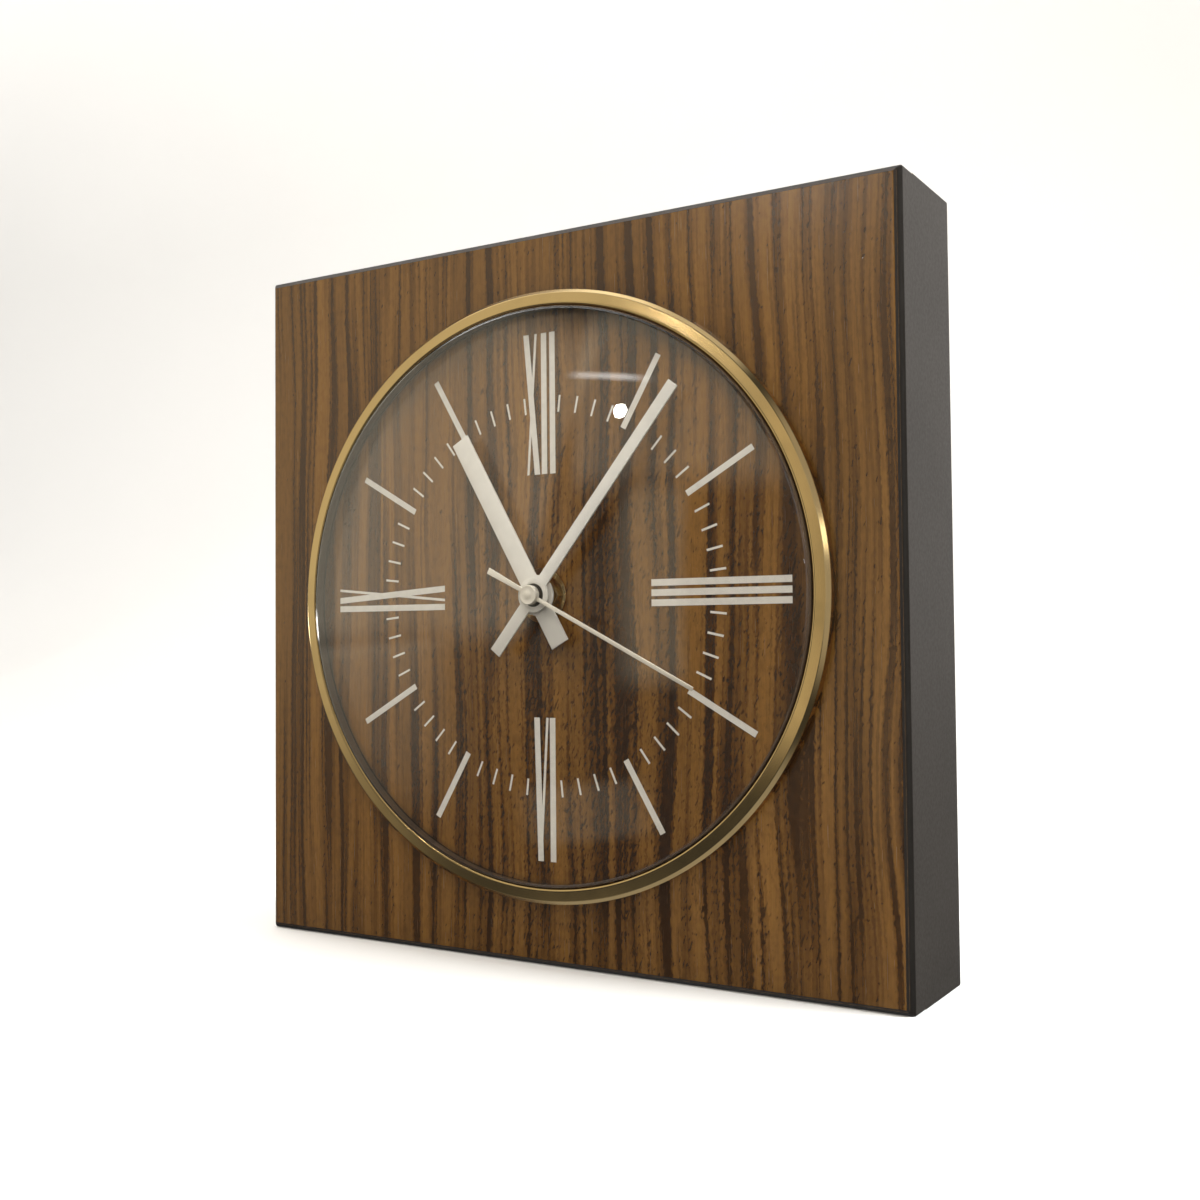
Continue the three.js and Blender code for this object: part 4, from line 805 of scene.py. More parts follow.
def grown(name, kind, mesh, **values):
    """A plain mesh from a tree. The values' names are the tree's inputs with underscores for spaces."""
    if kind not in MADE_TREES:
        MADE_TREES[kind] = TREES[kind]()
    tree = MADE_TREES[kind]
    piece = new_object(name, mesh)
    modifier = piece.modifiers.new(kind, "NODES")
    modifier.node_group = tree
    for item in tree.interface.items_tree:
        key = item.name.replace(" ", "_")
        if item.in_out == "INPUT" and key in values:
            modifier[item.identifier] = values[key]
    return settle(piece)


def turned(name, profile, steps, material, axis=(0, 0, 0)):
    """A profile of (radius, y) points turned round an axis along y; it closes unless both ends are on it."""
    reach = max(radius for radius, y in profile)
    ends_on_axis = profile[0][0] < TINY and profile[-1][0] < TINY
    area = sum(a[0] * b[1] - b[0] * a[1] for a, b in zip(profile, profile[1:] + profile[:1]))
    points = profile if area > 0 else profile[::-1]
    edges = [(i, i + 1) for i in range(len(points) - 1)]
    if not ends_on_axis:
        edges.append((len(points) - 1, 0))
    mesh = bpy.data.meshes.new(name)
    mesh.from_pydata([(radius - reach, y, 0) for radius, y in points], edges, [])
    piece = grown(name, "turned", mesh, Radius=reach, Steps=steps, Axis=axis, Merge=TINY, Material=material)
    return smooth(piece)


def repeated(name, shape, count, material, start=0.0, left_out=1, axis=(0, 0, 0)):
    """A shape repeated round an axis along y. The shape itself is used up."""
    mesh = bpy.data.meshes.new(name)
    values = {"Shape": shape, "Count": count, "Start": start, "Left_Out": left_out, "Axis": axis, "Material": material}
    piece = grown(name, "round", mesh, **values)
    bpy.data.objects.remove(shape)
    return piece


def scattered(name, shape, points, seed, material):
    """A shape at each of some points. The shape itself is used up."""
    mesh = bpy.data.meshes.new(name)
    mesh.from_pydata(points, [], [])
    piece = grown(name, "scattered", mesh, Shape=shape, Seed=seed, Material=material)
    bpy.data.objects.remove(shape)
    return piece


def cross_screw(radius, height, material):
    """A round screw head with a cross cut into it, standing up along y."""
    arm, half = radius * 0.58, radius * 0.16
    cross = [
        (half, arm), (half, half), (arm, half), (arm, -half), (half, -half), (half, -arm),
        (-half, -arm), (-half, -half), (-arm, -half), (-arm, half), (-half, half), (-half, arm),
    ]
    outline, step = circle(radius, 32), height * 0.35
    seat = plate("seat", outline, 0, step)
    head = plate("head", outline, step, height, [cross])
    return coat(soften(merged("screw", [seat, head]), radius * 0.12, segments=2), material)


# Case


RAIL_SIDES = {"top": (0, 0, 1), "right": (1, 0, 0), "bottom": (0, 0, -1), "left": (-1, 0, 0)}


class CLOCK_OT_case(bpy.types.Operator):
    """Veneer, front board and mitred rails"""

    bl_idname = "clock.case"
    bl_label = "Case"

    def execute(self, context):
        wood = context.scene.clock_wood
        edge = plain_finish("edge_paint", wood.edge_colour, 0.46, grain=0.0006, depth=0.00004)
        paint = plain_finish("side_paint", wood.paint_colour, wood.paint_roughness, patch=0.03, grain=0.0009,
                             depth=0.000012, spread=0.06)
        board = pressed_board_finish(wood)

        board_front, board_back = front_of("front_board"), back_of("front_board")
        veneer = stretch(solid_copy("veneer_face", "veneer"), back_of("veneer_face"), board_front)
        soften(veneer, wood.edge_round * 0.3, segments=2, where=lambda middle: middle.y < DIAL.y + TINY)
        coat(veneer, veneer_finish(wood), edge, choose=lambda middle, normal: int(abs(normal.y) < 0.85))
        fit(veneer, "case", "veneer", "veneer_face")

        def board_material(middle, normal):
            if abs(normal.y) > 0.9:
                return 0
            return 1 if middle.y - DIAL.y < wood.chamfer + wood.edge_round else 2

        rail_front = front_of("case_top_rail")
        panel = stretch(solid_copy("front_board", "front_panel"), board_back, rail_front)
        soften(panel, wood.edge_round * 1.2,
               where=lambda middle: board_front + TINY < middle.y - DIAL.y < board_back - TINY)
        coat(panel, board, edge, paint, choose=board_material)
        fit(panel, "case", "board", "front_board")

        bare = {along: bare_wood_finish(f"bare_wood_{along}", wood.rail_colour, along) for along in ("x", "z")}
        for side, outward in RAIL_SIDES.items():
            out = Vector(outward)
            rail = solid_copy(f"case_{side}_rail", f"{side}_rail")
            back = max(vertex.co.y for vertex in rail.data.vertices)
            outside = max(vertex.co.dot(out) for vertex in rail.data.vertices)
            soften(rail, wood.edge_round * 3, segments=5,
                   where=lambda middle: middle.y > back - TINY and middle.dot(out) > outside - TINY)
            soften(rail, wood.edge_round,
                   where=lambda middle: middle.y - DIAL.y > rail_front + TINY and middle.dot(out) < outside - TINY)
            coat(rail, paint, bare["x" if out.z else "z"],
                 choose=lambda middle, normal: int(normal.dot(out) < 0.3 and normal.y < 0.3))
            fit(rail, "case", "painted_wood", f"case_{side}_rail")
        return {"FINISHED"}


# Dial print


class CLOCK_OT_dial(bpy.types.Operator):
    """Minute marks, hour lines and numerals printed on the veneer"""

    bl_idname = "clock.dial"
    bl_label = "Dial print"

    def execute(self, context):
        dial = context.scene.clock_dial
        ink = plain_finish("dial_ink", dial.ink, 0.5, patch=0.002, grain=0.00012, depth=0.000006, spread=0.05)

        def line(inner, outer, width):
            half = width / 2
            outline = [(-half, inner), (half, inner), (half, outer), (-half, outer)]
            return plate("line", outline, -TINY, -dial.ink_height)

        minute = line(dial.minute_inner, dial.minute_outer, dial.minute_width)
        marks = repeated("minute_marks", minute, 60, ink, left_out=5)
        hour = line(dial.hour_inner, dial.hour_outer, dial.hour_width)
        lines = repeated("hour_lines", hour, 12, ink, left_out=3)

        low, high = dial.numeral_inner, dial.numeral_outer
        thick, thin = dial.stroke, dial.hairline
        strokes = [
            # numeral's turn, offset at the inner end, offset at the outer end, width
            (0, 0.0007, 0.0007, thick),
            (0, 0.0034, 0.0034, thick),
            (0, -0.0016, -0.0051, thick),
            (0, -0.0046, -0.0019, thin),
            (90, 0.00265, 0.00265, thick),
            (90, 0.0, 0.0, thick),
            (90, -0.00265, -0.00265, thick),
            (180, -0.0027, -0.0027, thick),
            (180, 0.00235, 0.0013, thick),
            (180, -0.00104, 0.0013, thin),
            (270, -0.0025, -0.0025, thick),
            (270, 0.00276, 0.0, thick),
            (270, -0.00051, 0.00314, thin),
        ]
        bars = []
        for turn, inner, outer, width in strokes:
            half = width / 2
            outline = [(inner - half, low), (inner + half, low), (outer + half, high), (outer - half, high)]
            height = dial.ink_height * (0.8 if width == thin else 1)
            bar = plate("stroke", outline, -TINY, -height)
            bars.append(move(bar, Matrix.Rotation(math.radians(turn), 4, "Y")))
        numerals = coat(merged("numerals", bars), ink)
        for piece in (marks, lines, numerals):
            fit(to_dial(piece), "case", "white_paint")
        return {"FINISHED"}


# Bezel and lens


class CLOCK_OT_bezel(bpy.types.Operator):
    """Folded brass ring and the tabs that hold it"""

    bl_idname = "clock.bezel"
    bl_label = "Bezel"

    def execute(self, context):
        size = context.scene.clock_bezel
        brass = brass_finish("bezel_brass", size.brass, size.roughness)
        outside, inside = size.radius, size.radius - size.wall
        half = size.wall / 2
        lip = (outside - size.width + size.lip_roll, half - size.height)
        edge = size.wall * 0.1
        face_end = outside - size.shoulder - edge
        face = arc(lip, size.lip_roll, size.lean - math.pi * 0.5, -math.pi, 8, half)
        begin = face[0]
        rise = (face_end - begin[0]) * math.tan(size.lean)
        top = -begin[1] - rise
        profile = [
            (inside, -TINY),
            (outside, -TINY),
            (outside, edge + size.shoulder - top),
            (outside - edge, size.shoulder - edge - top),
            (outside - size.shoulder + edge, edge - top),
            (face_end, -top),
            (begin[0] + edge, begin[1] + edge * math.tan(size.lean)),
            *face,
            *arc(lip, size.lip_roll, -math.pi, -math.pi * 1.5, 4, half)[1:],
            (inside, -(size.height - size.wall)),
        ]
        ring = smooth(to_dial(turned("brass_bezel", profile, size.steps, brass)), 14)
        fit(ring, "case", "brass", "bezel")

        board_back = back_of("front_board")
        outer = size.radius - (size.wall - size.tab_sheet) / 2
        inner = outer - size.tab_sheet
        fold_back = back_of("bezel")
        fold_front = fold_back - size.tab_sheet
        section = [
            (inner, -size.height / 2),
            (outer, -size.height / 2),
            (outer, fold_front),
            (outer + size.tab_fold, fold_front),
            (outer + size.tab_fold, fold_back),
            (inner, fold_back),
        ]
        if fold_front < board_back:
            raise RuntimeError("the bezel's tabs would cut into the board")
        work = bmesh.new()
        face = work.faces.new([work.verts.new((-size.tab_width / 2, y, radius)) for radius, y in section])
        thicken(work, [face], (size.tab_width, 0, 0))
        bmesh.ops.recalc_face_normals(work, faces=work.faces)
        tab = soften(from_bmesh("tab", work), size.tab_sheet * 0.25, segments=2)
        tabs = repeated("bezel_tabs", tab, size.tabs, brass, start=FULL_TURN / size.tabs / 2)
        fit(to_dial(tabs), "case", "brass")
        return {"FINISHED"}


class CLOCK_OT_lens(bpy.types.Operator):
    """Domed lens and the seal between it and the bezel"""

    bl_idname = "clock.lens"
    bl_label = "Lens"

    def execute(self, context):
        size = context.scene.clock_lens
        shoulder_steps, dome_steps = 12, 36

        def skin(shoulder, apex):
            """Half a section through one face of the lens: its shoulder, then its dome up to the middle."""
            centre = (size.rim - size.shoulder, size.straight)
            points = arc(centre, shoulder, 0, size.sweep, shoulder_steps)
            edge, edge_height = points[-1]
            rise = apex - edge_height
            radius = (edge * edge + rise * rise) / (2 * rise)
            span = math.asin(edge / radius)
            for i in range(1, dome_steps + 1):
                lean = span * (1 - i / dome_steps)
                points.append((radius * math.sin(lean), apex - radius * (1 - math.cos(lean))))
            return [(max(r, 0.0), -height) for r, height in points]

        outer = skin(size.shoulder, size.height)
        inner = skin(size.shoulder - size.wall, size.height - size.wall)
        flange_top = -(size.foot + size.wall)
        profile = [
            *inner[::-1],
            (size.rim - size.wall, -size.foot),
            (size.flange, -size.foot),
            (size.flange, flange_top),
            (size.rim, flange_top),
            *outer,
        ]
        # The seal rubber also coats the lens's outer shoulder: painted shade standing in for the dark line at the
        # bezel's inner edge.
        rubber = plain_finish("seal_rubber", size.seal, 0.75, grain=0.0004, depth=0.00003)
        clear = lens_finish(size)

        # Outer faces leaning past the seal lean take the seal colour, as painted shade.
        def in_painted_shade(middle, normal):
            outward = normal.x * middle.x + normal.z * (middle.z - DIAL.z)
            return int(outward > TINY and normal.y > -math.cos(size.painted_shade_lean))

        lens = coat(to_dial(turned("domed_lens", profile, size.steps, clear)), clear, rubber, choose=in_painted_shade)
        fit(lens, "case", "clear_lens", "lens")

        bezel = context.scene.clock_bezel
        front, back = front_of("lens_gasket"), back_of("lens_gasket")
        behind_lip = 0.00015
        low, high = bezel.radius - bezel.width + behind_lip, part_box("lens_gasket")[1].x
        half = min(back - front, high - low) / 2
        section = [
            *arc((high - half, front + half), half, -math.pi / 2, math.pi / 2, 8),
            *arc((low + half, front + half), half, math.pi / 2, math.pi * 1.5, 8),
        ]
        seal = turned("lens_seal", section, steps=160, material=rubber)
        fit(to_dial(seal), "case", "dark_rubber", "lens_gasket")
        return {"FINISHED"}


# Centre of the dial


class CLOCK_OT_centre(bpy.types.Operator):
    """Washer, nut and threaded bush at the middle of the dial"""

    bl_idname = "clock.centre"
    bl_label = "Centre fitting"

    def execute(self, context):
        bezel = context.scene.clock_bezel
        brass = brass_finish("fitting_brass", tinted(bezel.brass, 0.95), bezel.roughness * 1.1)
        washer_hole = 0.0043
        nut_radius, nut_hole, nut_edge = 0.0062, 0.0041, 0.0003
        bore, crest, pitch, depth = 0.00295, 0.004, 0.00075, 0.0004
        flange, flange_sheet, flange_gap = 0.0065, 0.0008, 0.00005
        root = crest - depth

        front, back = front_of("dial_washer"), back_of("dial_washer")
        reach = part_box("dial_washer")[1].x
        edge = (back - front) * 0.3
        profile = [
            (washer_hole, back),
            (reach, back),
            (reach, front + edge),
            *arc((reach - edge, front + edge), edge, 0, -math.pi / 2, 5),
            (washer_hole, front),
        ]
        washer = turned("washer_ring", profile, steps=128, material=brass)
        fit(to_dial(washer), "case", "brass", "dial_washer")

        hexagon, hole = circle(nut_radius, 6), circle(nut_hole, 48)
        nut = plate("hex_nut", hexagon, front_of("dial_nut"), back_of("dial_nut"), [hole])
        coat(soften(nut, nut_edge), brass)
        fit(to_dial(nut), "case", "brass", "dial_nut")

        front, back = front_of("centre_bush"), back_of("centre_bush")
        flange_front = front_of("movement_base") + flange_gap
        flange_back = flange_front + flange_sheet
        thread = []
        for i in range(int((flange_front - front) / pitch) - 1):
            start = front + depth + i * pitch
            thread += [(root, start), (crest, start + pitch * 0.4), (crest, start + pitch * 0.6)]
        profile = [
            (bore, front),
            (root, front),
            *thread,
            (root, flange_front),
            (flange, flange_front),
            (flange, flange_back),
            (crest, flange_back),
            (crest, back),
            (bore, back),
        ]
        bush = turned("threaded_bush", profile, steps=48, material=brass)
        fit(to_dial(bush), "case", "brass", "centre_bush")
        return {"FINISHED"}


# Hands


def hand_outline(reach, tip, tail, end, hub):
    """A tapered bar with a round hub, pointing at twelve."""

    def half(z):
        return (end + (tip - end) * (z + tail) / (reach + tail)) / 2

    def crossing(sign):
        z = hub
        for _ in range(8):
            z = math.sqrt(hub * hub - half(sign * z) ** 2)
        return math.atan2(sign * z, half(sign * z))

    right = arc((0, 0), hub, crossing(1), crossing(-1), 24)
    left = [(-x, z) for x, z in reversed(right)]
    tail_end = [(end / 2, -tail), (-end / 2, -tail)]
    return [(tip / 2, reach), *right, *tail_end, *left, (-tip / 2, reach)]


class CLOCK_OT_hands(bpy.types.Operator):
    """Hour, minute and second hands"""

    bl_idname = "clock.hands"
    bl_label = "Hands"

    def execute(self, context):
        size = context.scene.clock_hands
        coating = {"patch": 0.004, "grain": 0.00025, "depth": 0.000008, "spread": 0.035}
        paint = plain_finish("hand_paint", size.paint, 0.42, **coating)
        cream = plain_finish("cream_paint", size.cream, 0.4, **coating)
        # Near-black pipe end, painted shade for the hollow of the hub.
        dark = plain_finish("pipe_end", size.pipe_end, 0.45, patch=0.001, grain=0.0002, depth=0.00001)

        def placed(piece, turn, body, slot, node):
            move(piece, Matrix.Rotation(turn, 4, "Y"))
            fit(to_dial(piece), body, slot, node)

        def stamped(name, outline, hole, collar, node, opening):
            """A stamped hand on a collar; its opening shows the end of the pipe that carries it, painted near black as
            painted shade in the hollow of the hub.
            """
            front, back = front_of(node), back_of(node)
            flat = soften(plate("flat", outline, front, front + size.sheet, [circle(opening, 48)]), size.edge)
            seat = front + size.sheet * 0.6
            sleeve = turned("sleeve", [(hole, seat), (collar, seat), (collar, back), (hole, back)], 48, paint)
            whole = smooth(merged(name, [flat, sleeve]))

            def in_opening(middle, normal):
                within = math.hypot(middle.x, middle.z) < collar
                return int(within and normal.y < -0.5 and middle.y > seat - TINY)

            return coat(whole, paint, dark, choose=in_opening)

        outline = hand_outline(size.hour_length, size.hour_width, size.hour_tail, size.hour_width, size.hour_hub)
        hole, collar = 0.00285, 0.0042
        hour = stamped("hour_pointer", outline, hole, collar, "hour_hand", opening=hole)
        placed(hour, size.hour_angle, "hour", "white_paint", "hour_hand")

        outline = hand_outline(size.minute_length, size.minute_tip, size.minute_tail, size.minute_end, size.minute_hub)
        hole, collar, opening = 0.00195, 0.0033, 0.0032
        minute = stamped("minute_pointer", outline, hole, collar, "minute_hand", opening)
        placed(minute, size.minute_angle, "minute", "white_paint", "minute_hand")

        front, back = front_of("second_hand"), back_of("second_hand")
        socket, hole, socket_length = 0.0015, 0.00085, 0.0006
        bar_back = back - socket_length
        bar_front = bar_back - size.sheet
        half, half_end = size.second_width / 2, size.second_end / 2
        forward = [(-half, 0), (half, 0), (half, size.second_length), (-half, size.second_length)]
        rearward = [(half_end, -size.second_tail), (half, 0), (-half, 0), (-half_end, -size.second_tail)]
        bars = [soften(plate("bar", outline, bar_front, bar_back), size.edge) for outline in (forward, rearward)]
        radius, edge = size.boss, 0.0003
        step, cap = front + 0.00006, front + 0.0005
        boss = [
            (0, front),
            (radius * 0.3, front),
            (radius * 0.34, step),
            (radius * 0.88, step),
            *arc((radius - edge, front + edge), edge, -math.pi * 0.4, 0, 4),
            (radius, bar_back),
            (socket, bar_back),
            (socket, back),
            (hole, back),
            (hole, cap),
            (0, cap),
        ]
        second = merged("second_pointer", [*bars, turned("boss", boss, steps=64, material=cream)])
        coat(smooth(second), cream)
        placed(second, size.second_angle, "second", "cream_paint", "second_hand")
        return {"FINISHED"}


# Movement


class CLOCK_OT_movement(bpy.types.Operator):
    """Movement housing with its screws, and the setting knob"""

    bl_idname = "clock.movement"
    bl_label = "Movement"

    def execute(self, context):
        size = context.scene.clock_movement
        plastic = plain_finish("housing_plastic", size.plastic, 0.5, patch=0.01, grain=0.00035, depth=0.00003)
        steel = plain_finish("screw_steel", size.steel, 0.32, metal=1.0, patch=0.002, grain=0.0002, depth=0.00001)
        tray = coat(soften(solid_copy("movement_base", "movement_tray"), size.edge, segments=2), plastic)
        fit(tray, "case", "black_plastic", "movement_base")

        # A raised minus and plus on the lid tell which way round the cell goes.
        low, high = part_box("movement_cover")
        lid = soften(solid_copy("movement_cover", "lid"), size.edge, segments=2)
        arm, half, rise = 0.0016, 0.0003, 0.00025
        aside, up = 0.0215, low.z + 0.0045
        level = [(-arm, -half), (arm, -half), (arm, half), (-arm, half)]
        upright = [(-half, -arm), (half, -arm), (half, arm), (-half, arm)]
        signs = []
        for side, bar in ((-1, level), (1, level), (1, upright)):
            outline = [(side * aside + x, up + z) for x, z in bar]
            sign = plate("sign", outline, high.y - rise, high.y + rise)
            signs.append(soften(sign, rise * 0.4, segments=2))
        cover = coat(merged("movement_lid", [lid, *signs]), plastic)
        fit(cover, "case", "black_plastic", "movement_cover")

        inset, below_bay = 0.0035, 0.006
        levels = (low.z + inset + below_bay, high.z - inset)
        corners = [(side * (high.x - inset), high.y, z) for side in (-1, 1) for z in levels]
        screw = cross_screw(size.screw_radius, size.screw_height, steel)
        screws = scattered("lid_screws", screw, corners, size.screw_seed, steel)
        fit(screws, "case", "steel")

        low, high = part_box("set_knob")
        axis = ((low.x + high.x) / 2, 0, (low.z + high.z) / 2)
        rib_height, rib_sink, rib_edge = 0.0005, 0.0003, 0.0001
        round_off, hole, dish = 0.0006, 0.0014, 0.0004
        outside = (high.x - low.x) / 2
        core = outside - rib_height
        profile = [
            (0, high.y - 2 * dish),
            (hole, high.y - 2 * dish),
            (hole, low.y),
            (core, low.y),
            (core, high.y - round_off),
            *arc((core - round_off, high.y - round_off), round_off, 0, math.pi / 2, 5),
            (core * 0.72, high.y),
            (core * 0.66, high.y - dish),
            (core * 0.2, high.y - dish),
            (0, high.y - dish),
        ]
        knob = turned("knob", profile, 96, plastic, axis)
        pitch = FULL_TURN * core / size.ribs
        foot, crest, root = pitch * 0.3, pitch * 0.16, core - rib_sink
        outline = [(-foot, root), (foot, root), (crest, outside), (-crest, outside)]
        rib = soften(plate("rib", outline, low.y + rib_sink, high.y - round_off), rib_edge, segments=1)
        ribs = repeated("ribs", rib, size.ribs, plastic, axis=axis)
        fit(coat(merged("setting_knob", [knob, ribs]), plastic), "setting", "black_plastic", "set_knob")
        return {"FINISHED"}


class CLOCK_OT_cell(bpy.types.Operator):
    """Battery cell and its contact strips"""

    bl_idname = "clock.cell"
    bl_label = "Cell"

    def execute(self, context):
        size = context.scene.clock_movement
        jacket = cell_finish(size)
        steel = plain_finish("cell_steel", size.steel, 0.26, metal=1.0, patch=0.003, grain=0.0002, depth=0.000006)
        low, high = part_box("battery_cell")
        middle = (low + high) / 2
        half, radius = (high.x - low.x) / 2, (high.z - low.z) / 2
        lap, fold, bead, bead_gap, dent = 0.0008, 0.00025, 0.0005, 0.0006, 0.0003
        button, button_height, button_edge, draft = 0.0026, 0.0012, 0.0003, 0.0001
        shoulder = half - button_height
        profile = [
            (0, dent - half),
            (radius * 0.55, dent - half),
            (radius * 0.6, -half),
            (radius - lap, -half),
            (radius - lap * 0.9, fold - half),
            *arc((radius - bead, bead_gap - half), bead, -math.pi / 2, 0, 5),
            *arc((radius - bead, shoulder - bead_gap), bead, 0, math.pi / 2, 5),
            (radius - lap * 0.9, shoulder - fold),
            (radius - lap, shoulder),
            (button + lap, shoulder),
            (button + draft, shoulder + draft),
            (button, half - button_edge),
            *arc((button - button_edge, half - button_edge), button_edge, 0, math.pi / 2, 4),
            (0, half),
        ]
        cell = turned("dry_cell", profile, steps=96, material=jacket)
        move(cell, Matrix.Translation(middle) @ Matrix.Rotation(-math.pi / 2, 4, "Z"))

        def bare_steel(centre, normal):
            off_axis = math.hypot(centre.y - middle.y, centre.z - middle.z)
            return int(off_axis < radius - lap * 0.95)

        coat(cell, jacket, steel, choose=bare_steel)
        fit(cell, "cell", "cell_jacket", "battery_cell")
        strip_edge = 0.0001
        for side in ("positive", "negative"):
            strip = soften(solid_copy(f"{side}_contact", f"{side}_strip"), strip_edge, segments=2)
            fit(coat(strip, steel), "case", "steel", f"{side}_contact")
        return {"FINISHED"}


class CLOCK_OT_train(bpy.types.Operator):
    """Finishes of the wheels, motor and circuit, whose solids stay as they are"""

    bl_idname = "clock.train"
    bl_label = "Wheel train"

    def execute(self, context):
        size = context.scene.clock_movement
        gear = plain_finish("wheel_plastic", size.gear, 0.36, patch=0.003, grain=0.0003, depth=0.000008, spread=0.05)
        steel = plain_finish("rolled_steel", size.steel, 0.34, metal=1.0, patch=0.002, grain=0.00025, depth=0.00001)
        magnet = plain_finish("magnet", size.magnet, 0.5, metal=0.6, patch=0.001, grain=0.0002, depth=0.00002)
        rubber = plain_finish("washer_rubber", size.rubber, 0.8, grain=0.0004, depth=0.00004)
        finishes = {
            gear: ("hour_wheel", "centre_wheel", "third_wheel", "intermediate_wheel", "rotor_shaft", "minute_wheel",
                   "set_shaft"),
            steel: ("second_wheel", "stator", "coil_core", "quartz_can"),
            magnet: ("rotor_magnet",),
            rubber: ("rubber_washer",),
            winding_finish(size.wire): ("coil",),
            circuit_finish(size.mask): ("circuit_board",),
        }
        for material, nodes in finishes.items():
            for node in nodes:
                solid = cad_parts[node]
                if not solid.material_slots:
                    solid.data.materials.append(material)
                for slot in solid.material_slots:
                    slot.material = material
        return {"FINISHED"}


class CLOCK_OT_hanger(bpy.types.Operator):
    """Keyhole plate and its wood screws"""

    bl_idname = "clock.hanger"
    bl_label = "Hanger"

    def execute(self, context):
        size = context.scene.clock_movement
        zinc = plain_finish("zinc_plate", size.steel, 0.36, metal=1.0, patch=0.004, grain=0.0003, depth=0.000012)
        edge, inset = 0.0002, 0.007
        head_radius, head_height, seed = 0.0034, 0.0011, 3
        hanger = coat(soften(solid_copy("hanger_plate", "hanger"), edge, segments=2), zinc)
        fit(hanger, "case", "steel", "hanger_plate")
        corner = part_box("hanger_plate")[1]
        height = (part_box("case_top_rail")[0].z + corner.z) / 2
        spots = [(side * (corner.x - inset), corner.y, height) for side in (-1, 1)]
        screws = scattered("hanger_screws", cross_screw(head_radius, head_height, zinc), spots, seed, zinc)
        fit(screws, "case", "steel")
        return {"FINISHED"}


# Stage


WARM, NEUTRAL, COOL = (1.0, 0.95, 0.88), (1.0, 0.985, 0.96), (0.92, 0.97, 1.0)
SUNNY, AMBER = (1.0, 0.91, 0.7), (1.0, 0.87, 0.62)
SOFT = ((0, 0), (0.25, 1), (0.75, 1), (1, 0))
PEAK = ((0, 0), (0.5, 1), (1, 0))
CARD_DISTANCE = 1.2


def from_dial(azimuth, elevation, distance):
    """A place as seen from the dial; azimuths to the right of its front are positive."""
    az, el = math.radians(azimuth), math.radians(elevation)
    return DIAL + distance * Vector((math.sin(az) * math.cos(el), -math.cos(az) * math.cos(el), math.sin(el)))


LIGHTS = {
    # setting: place, target, tint, width and height
    "key": (from_dial(-25, 62, 0.9), DIAL, WARM, (0.55, 0.5)),
    "fill": (from_dial(38, 26, 1.25), DIAL, WARM, (0.7, 0.6)),
    "side": ((0.34, 0.06, 0.44), (0.1, 0.02, 0.17), COOL, (0.2, 0.2)),
    "backdrop": ((-1.2, 0.15, 1.7), (-1.2, 0.8, 0.5), NEUTRAL, (3.2, 0.5)),
}
CARDS = {
    # setting: azimuth, elevation, tint, width and height, stops of strength across and up
    "wall": (
        -56.5, 18, SUNNY, (1.303, 1.069),
        ((0, 0), (0.08, 0.76), (0.42, 0.8), (0.55, 0.62), (0.94, 0.62), (1, 0)),
        ((0, 0), (0.13, 1), (0.85, 1), (1, 0)),
    ),
    "high_wall": (
        -7, 28, SUNNY, (0.81, 0.6),
        ((0, 0), (0.07, 1), (0.7, 1), (1, 0)),
        ((0, 0), (0.22, 1), (0.85, 1), (1, 0)),
    ),
    "far_wall": (
        -62.5, -16, SUNNY, (0.994, 0.56),
        ((0, 0), (0.1, 1), (0.7, 0.8), (1, 0)),
        ((0, 0), (0.6, 0.6), (0.93, 1), (1, 0)),
    ),
    "ground": (-26, -27, SUNNY, (0.5, 0.2), SOFT, SOFT),
    "low_wall": (
        -13, 2.5, AMBER, (0.28, 0.64),
        ((0, 0), (0.45, 1), (0.8, 0.9), (1, 0)),
        ((0, 0), (0.15, 1), (0.88, 1), (1, 0)),
    ),
    "right_wall": (68, 15, WARM, (0.8, 2.2), SOFT, SOFT),
    "right_lamp": (69, 15, WARM, (0.1, 0.25), PEAK, PEAK),
    "left_wall": (-122, 8, NEUTRAL, (0.9, 1.6), SOFT, SOFT),
    "front_room": (38, 12, NEUTRAL, (0.9, 1.1), SOFT, SOFT),
    "back_room": (175, 20, NEUTRAL, (1.5, 1.4), SOFT, SOFT),
    "left_window": (-97.5, -1.5, NEUTRAL, (0.75, 0.1), SOFT, PEAK),
}
LEVEL_CARDS = {
    # setting: place, way it faces, width and height, stops of strength across and up
    "ceiling": (
        DIAL + Vector((-0.35, 0.1, 1.0)), Vector((0, 0, -1)), (1.8, 1.4),
        ((0, 0), (0.2, 1), (0.6, 1), (0.75, 0.45), (0.9, 0.4), (1, 0)),
        SOFT,
    ),
    "bounce": (Vector((0.1, -0.05, -0.5)), Vector((0, 0, 1)), (1.4, 0.7), SOFT, SOFT),
}
GLINTS = {
    # setting: spot on the lens from the dial's middle, direction of the lamp from there, tint, width and height
    "lamp": ((0.03, -0.0098, 0.0471), (-0.3223, -0.8551, 0.406), WARM, (0.042, 0.042)),
    "spark": ((0.0785, -0.0049, 0.008), (0.164, -0.982, 0.096), NEUTRAL, (0.03, 0.03)),
    "tube": ((0.0264, -0.0085, 0.0568), (-0.3487, -0.8092, 0.4729), NEUTRAL, (0.305, 0.031)),
}
TUBE_STRENGTH = ((0, 0), (0.25, 0.8), (0.6, 1), (1, 0))


def aimed(name, spot, target, watts, tint, size, gleam=True):
    """A flat lamp at a spot, aimed at a target. It either gleams, and only gloss shows it, or it lights."""
    lamp = bpy.data.lights.new(name, "AREA")
    lamp.shape = "RECTANGLE"
    lamp.size, lamp.size_y = size
    lamp.energy = watts
    lamp.color = tint
    holder = new_object(name, lamp)
    holder.location = spot
    holder.rotation_euler = (Vector(target) - Vector(spot)).to_track_quat("-Z", "Y").to_euler()
    holder.visible_camera = False
    holder.visible_glossy = holder.visible_transmission = gleam
    holder.visible_diffuse = not gleam
    return holder


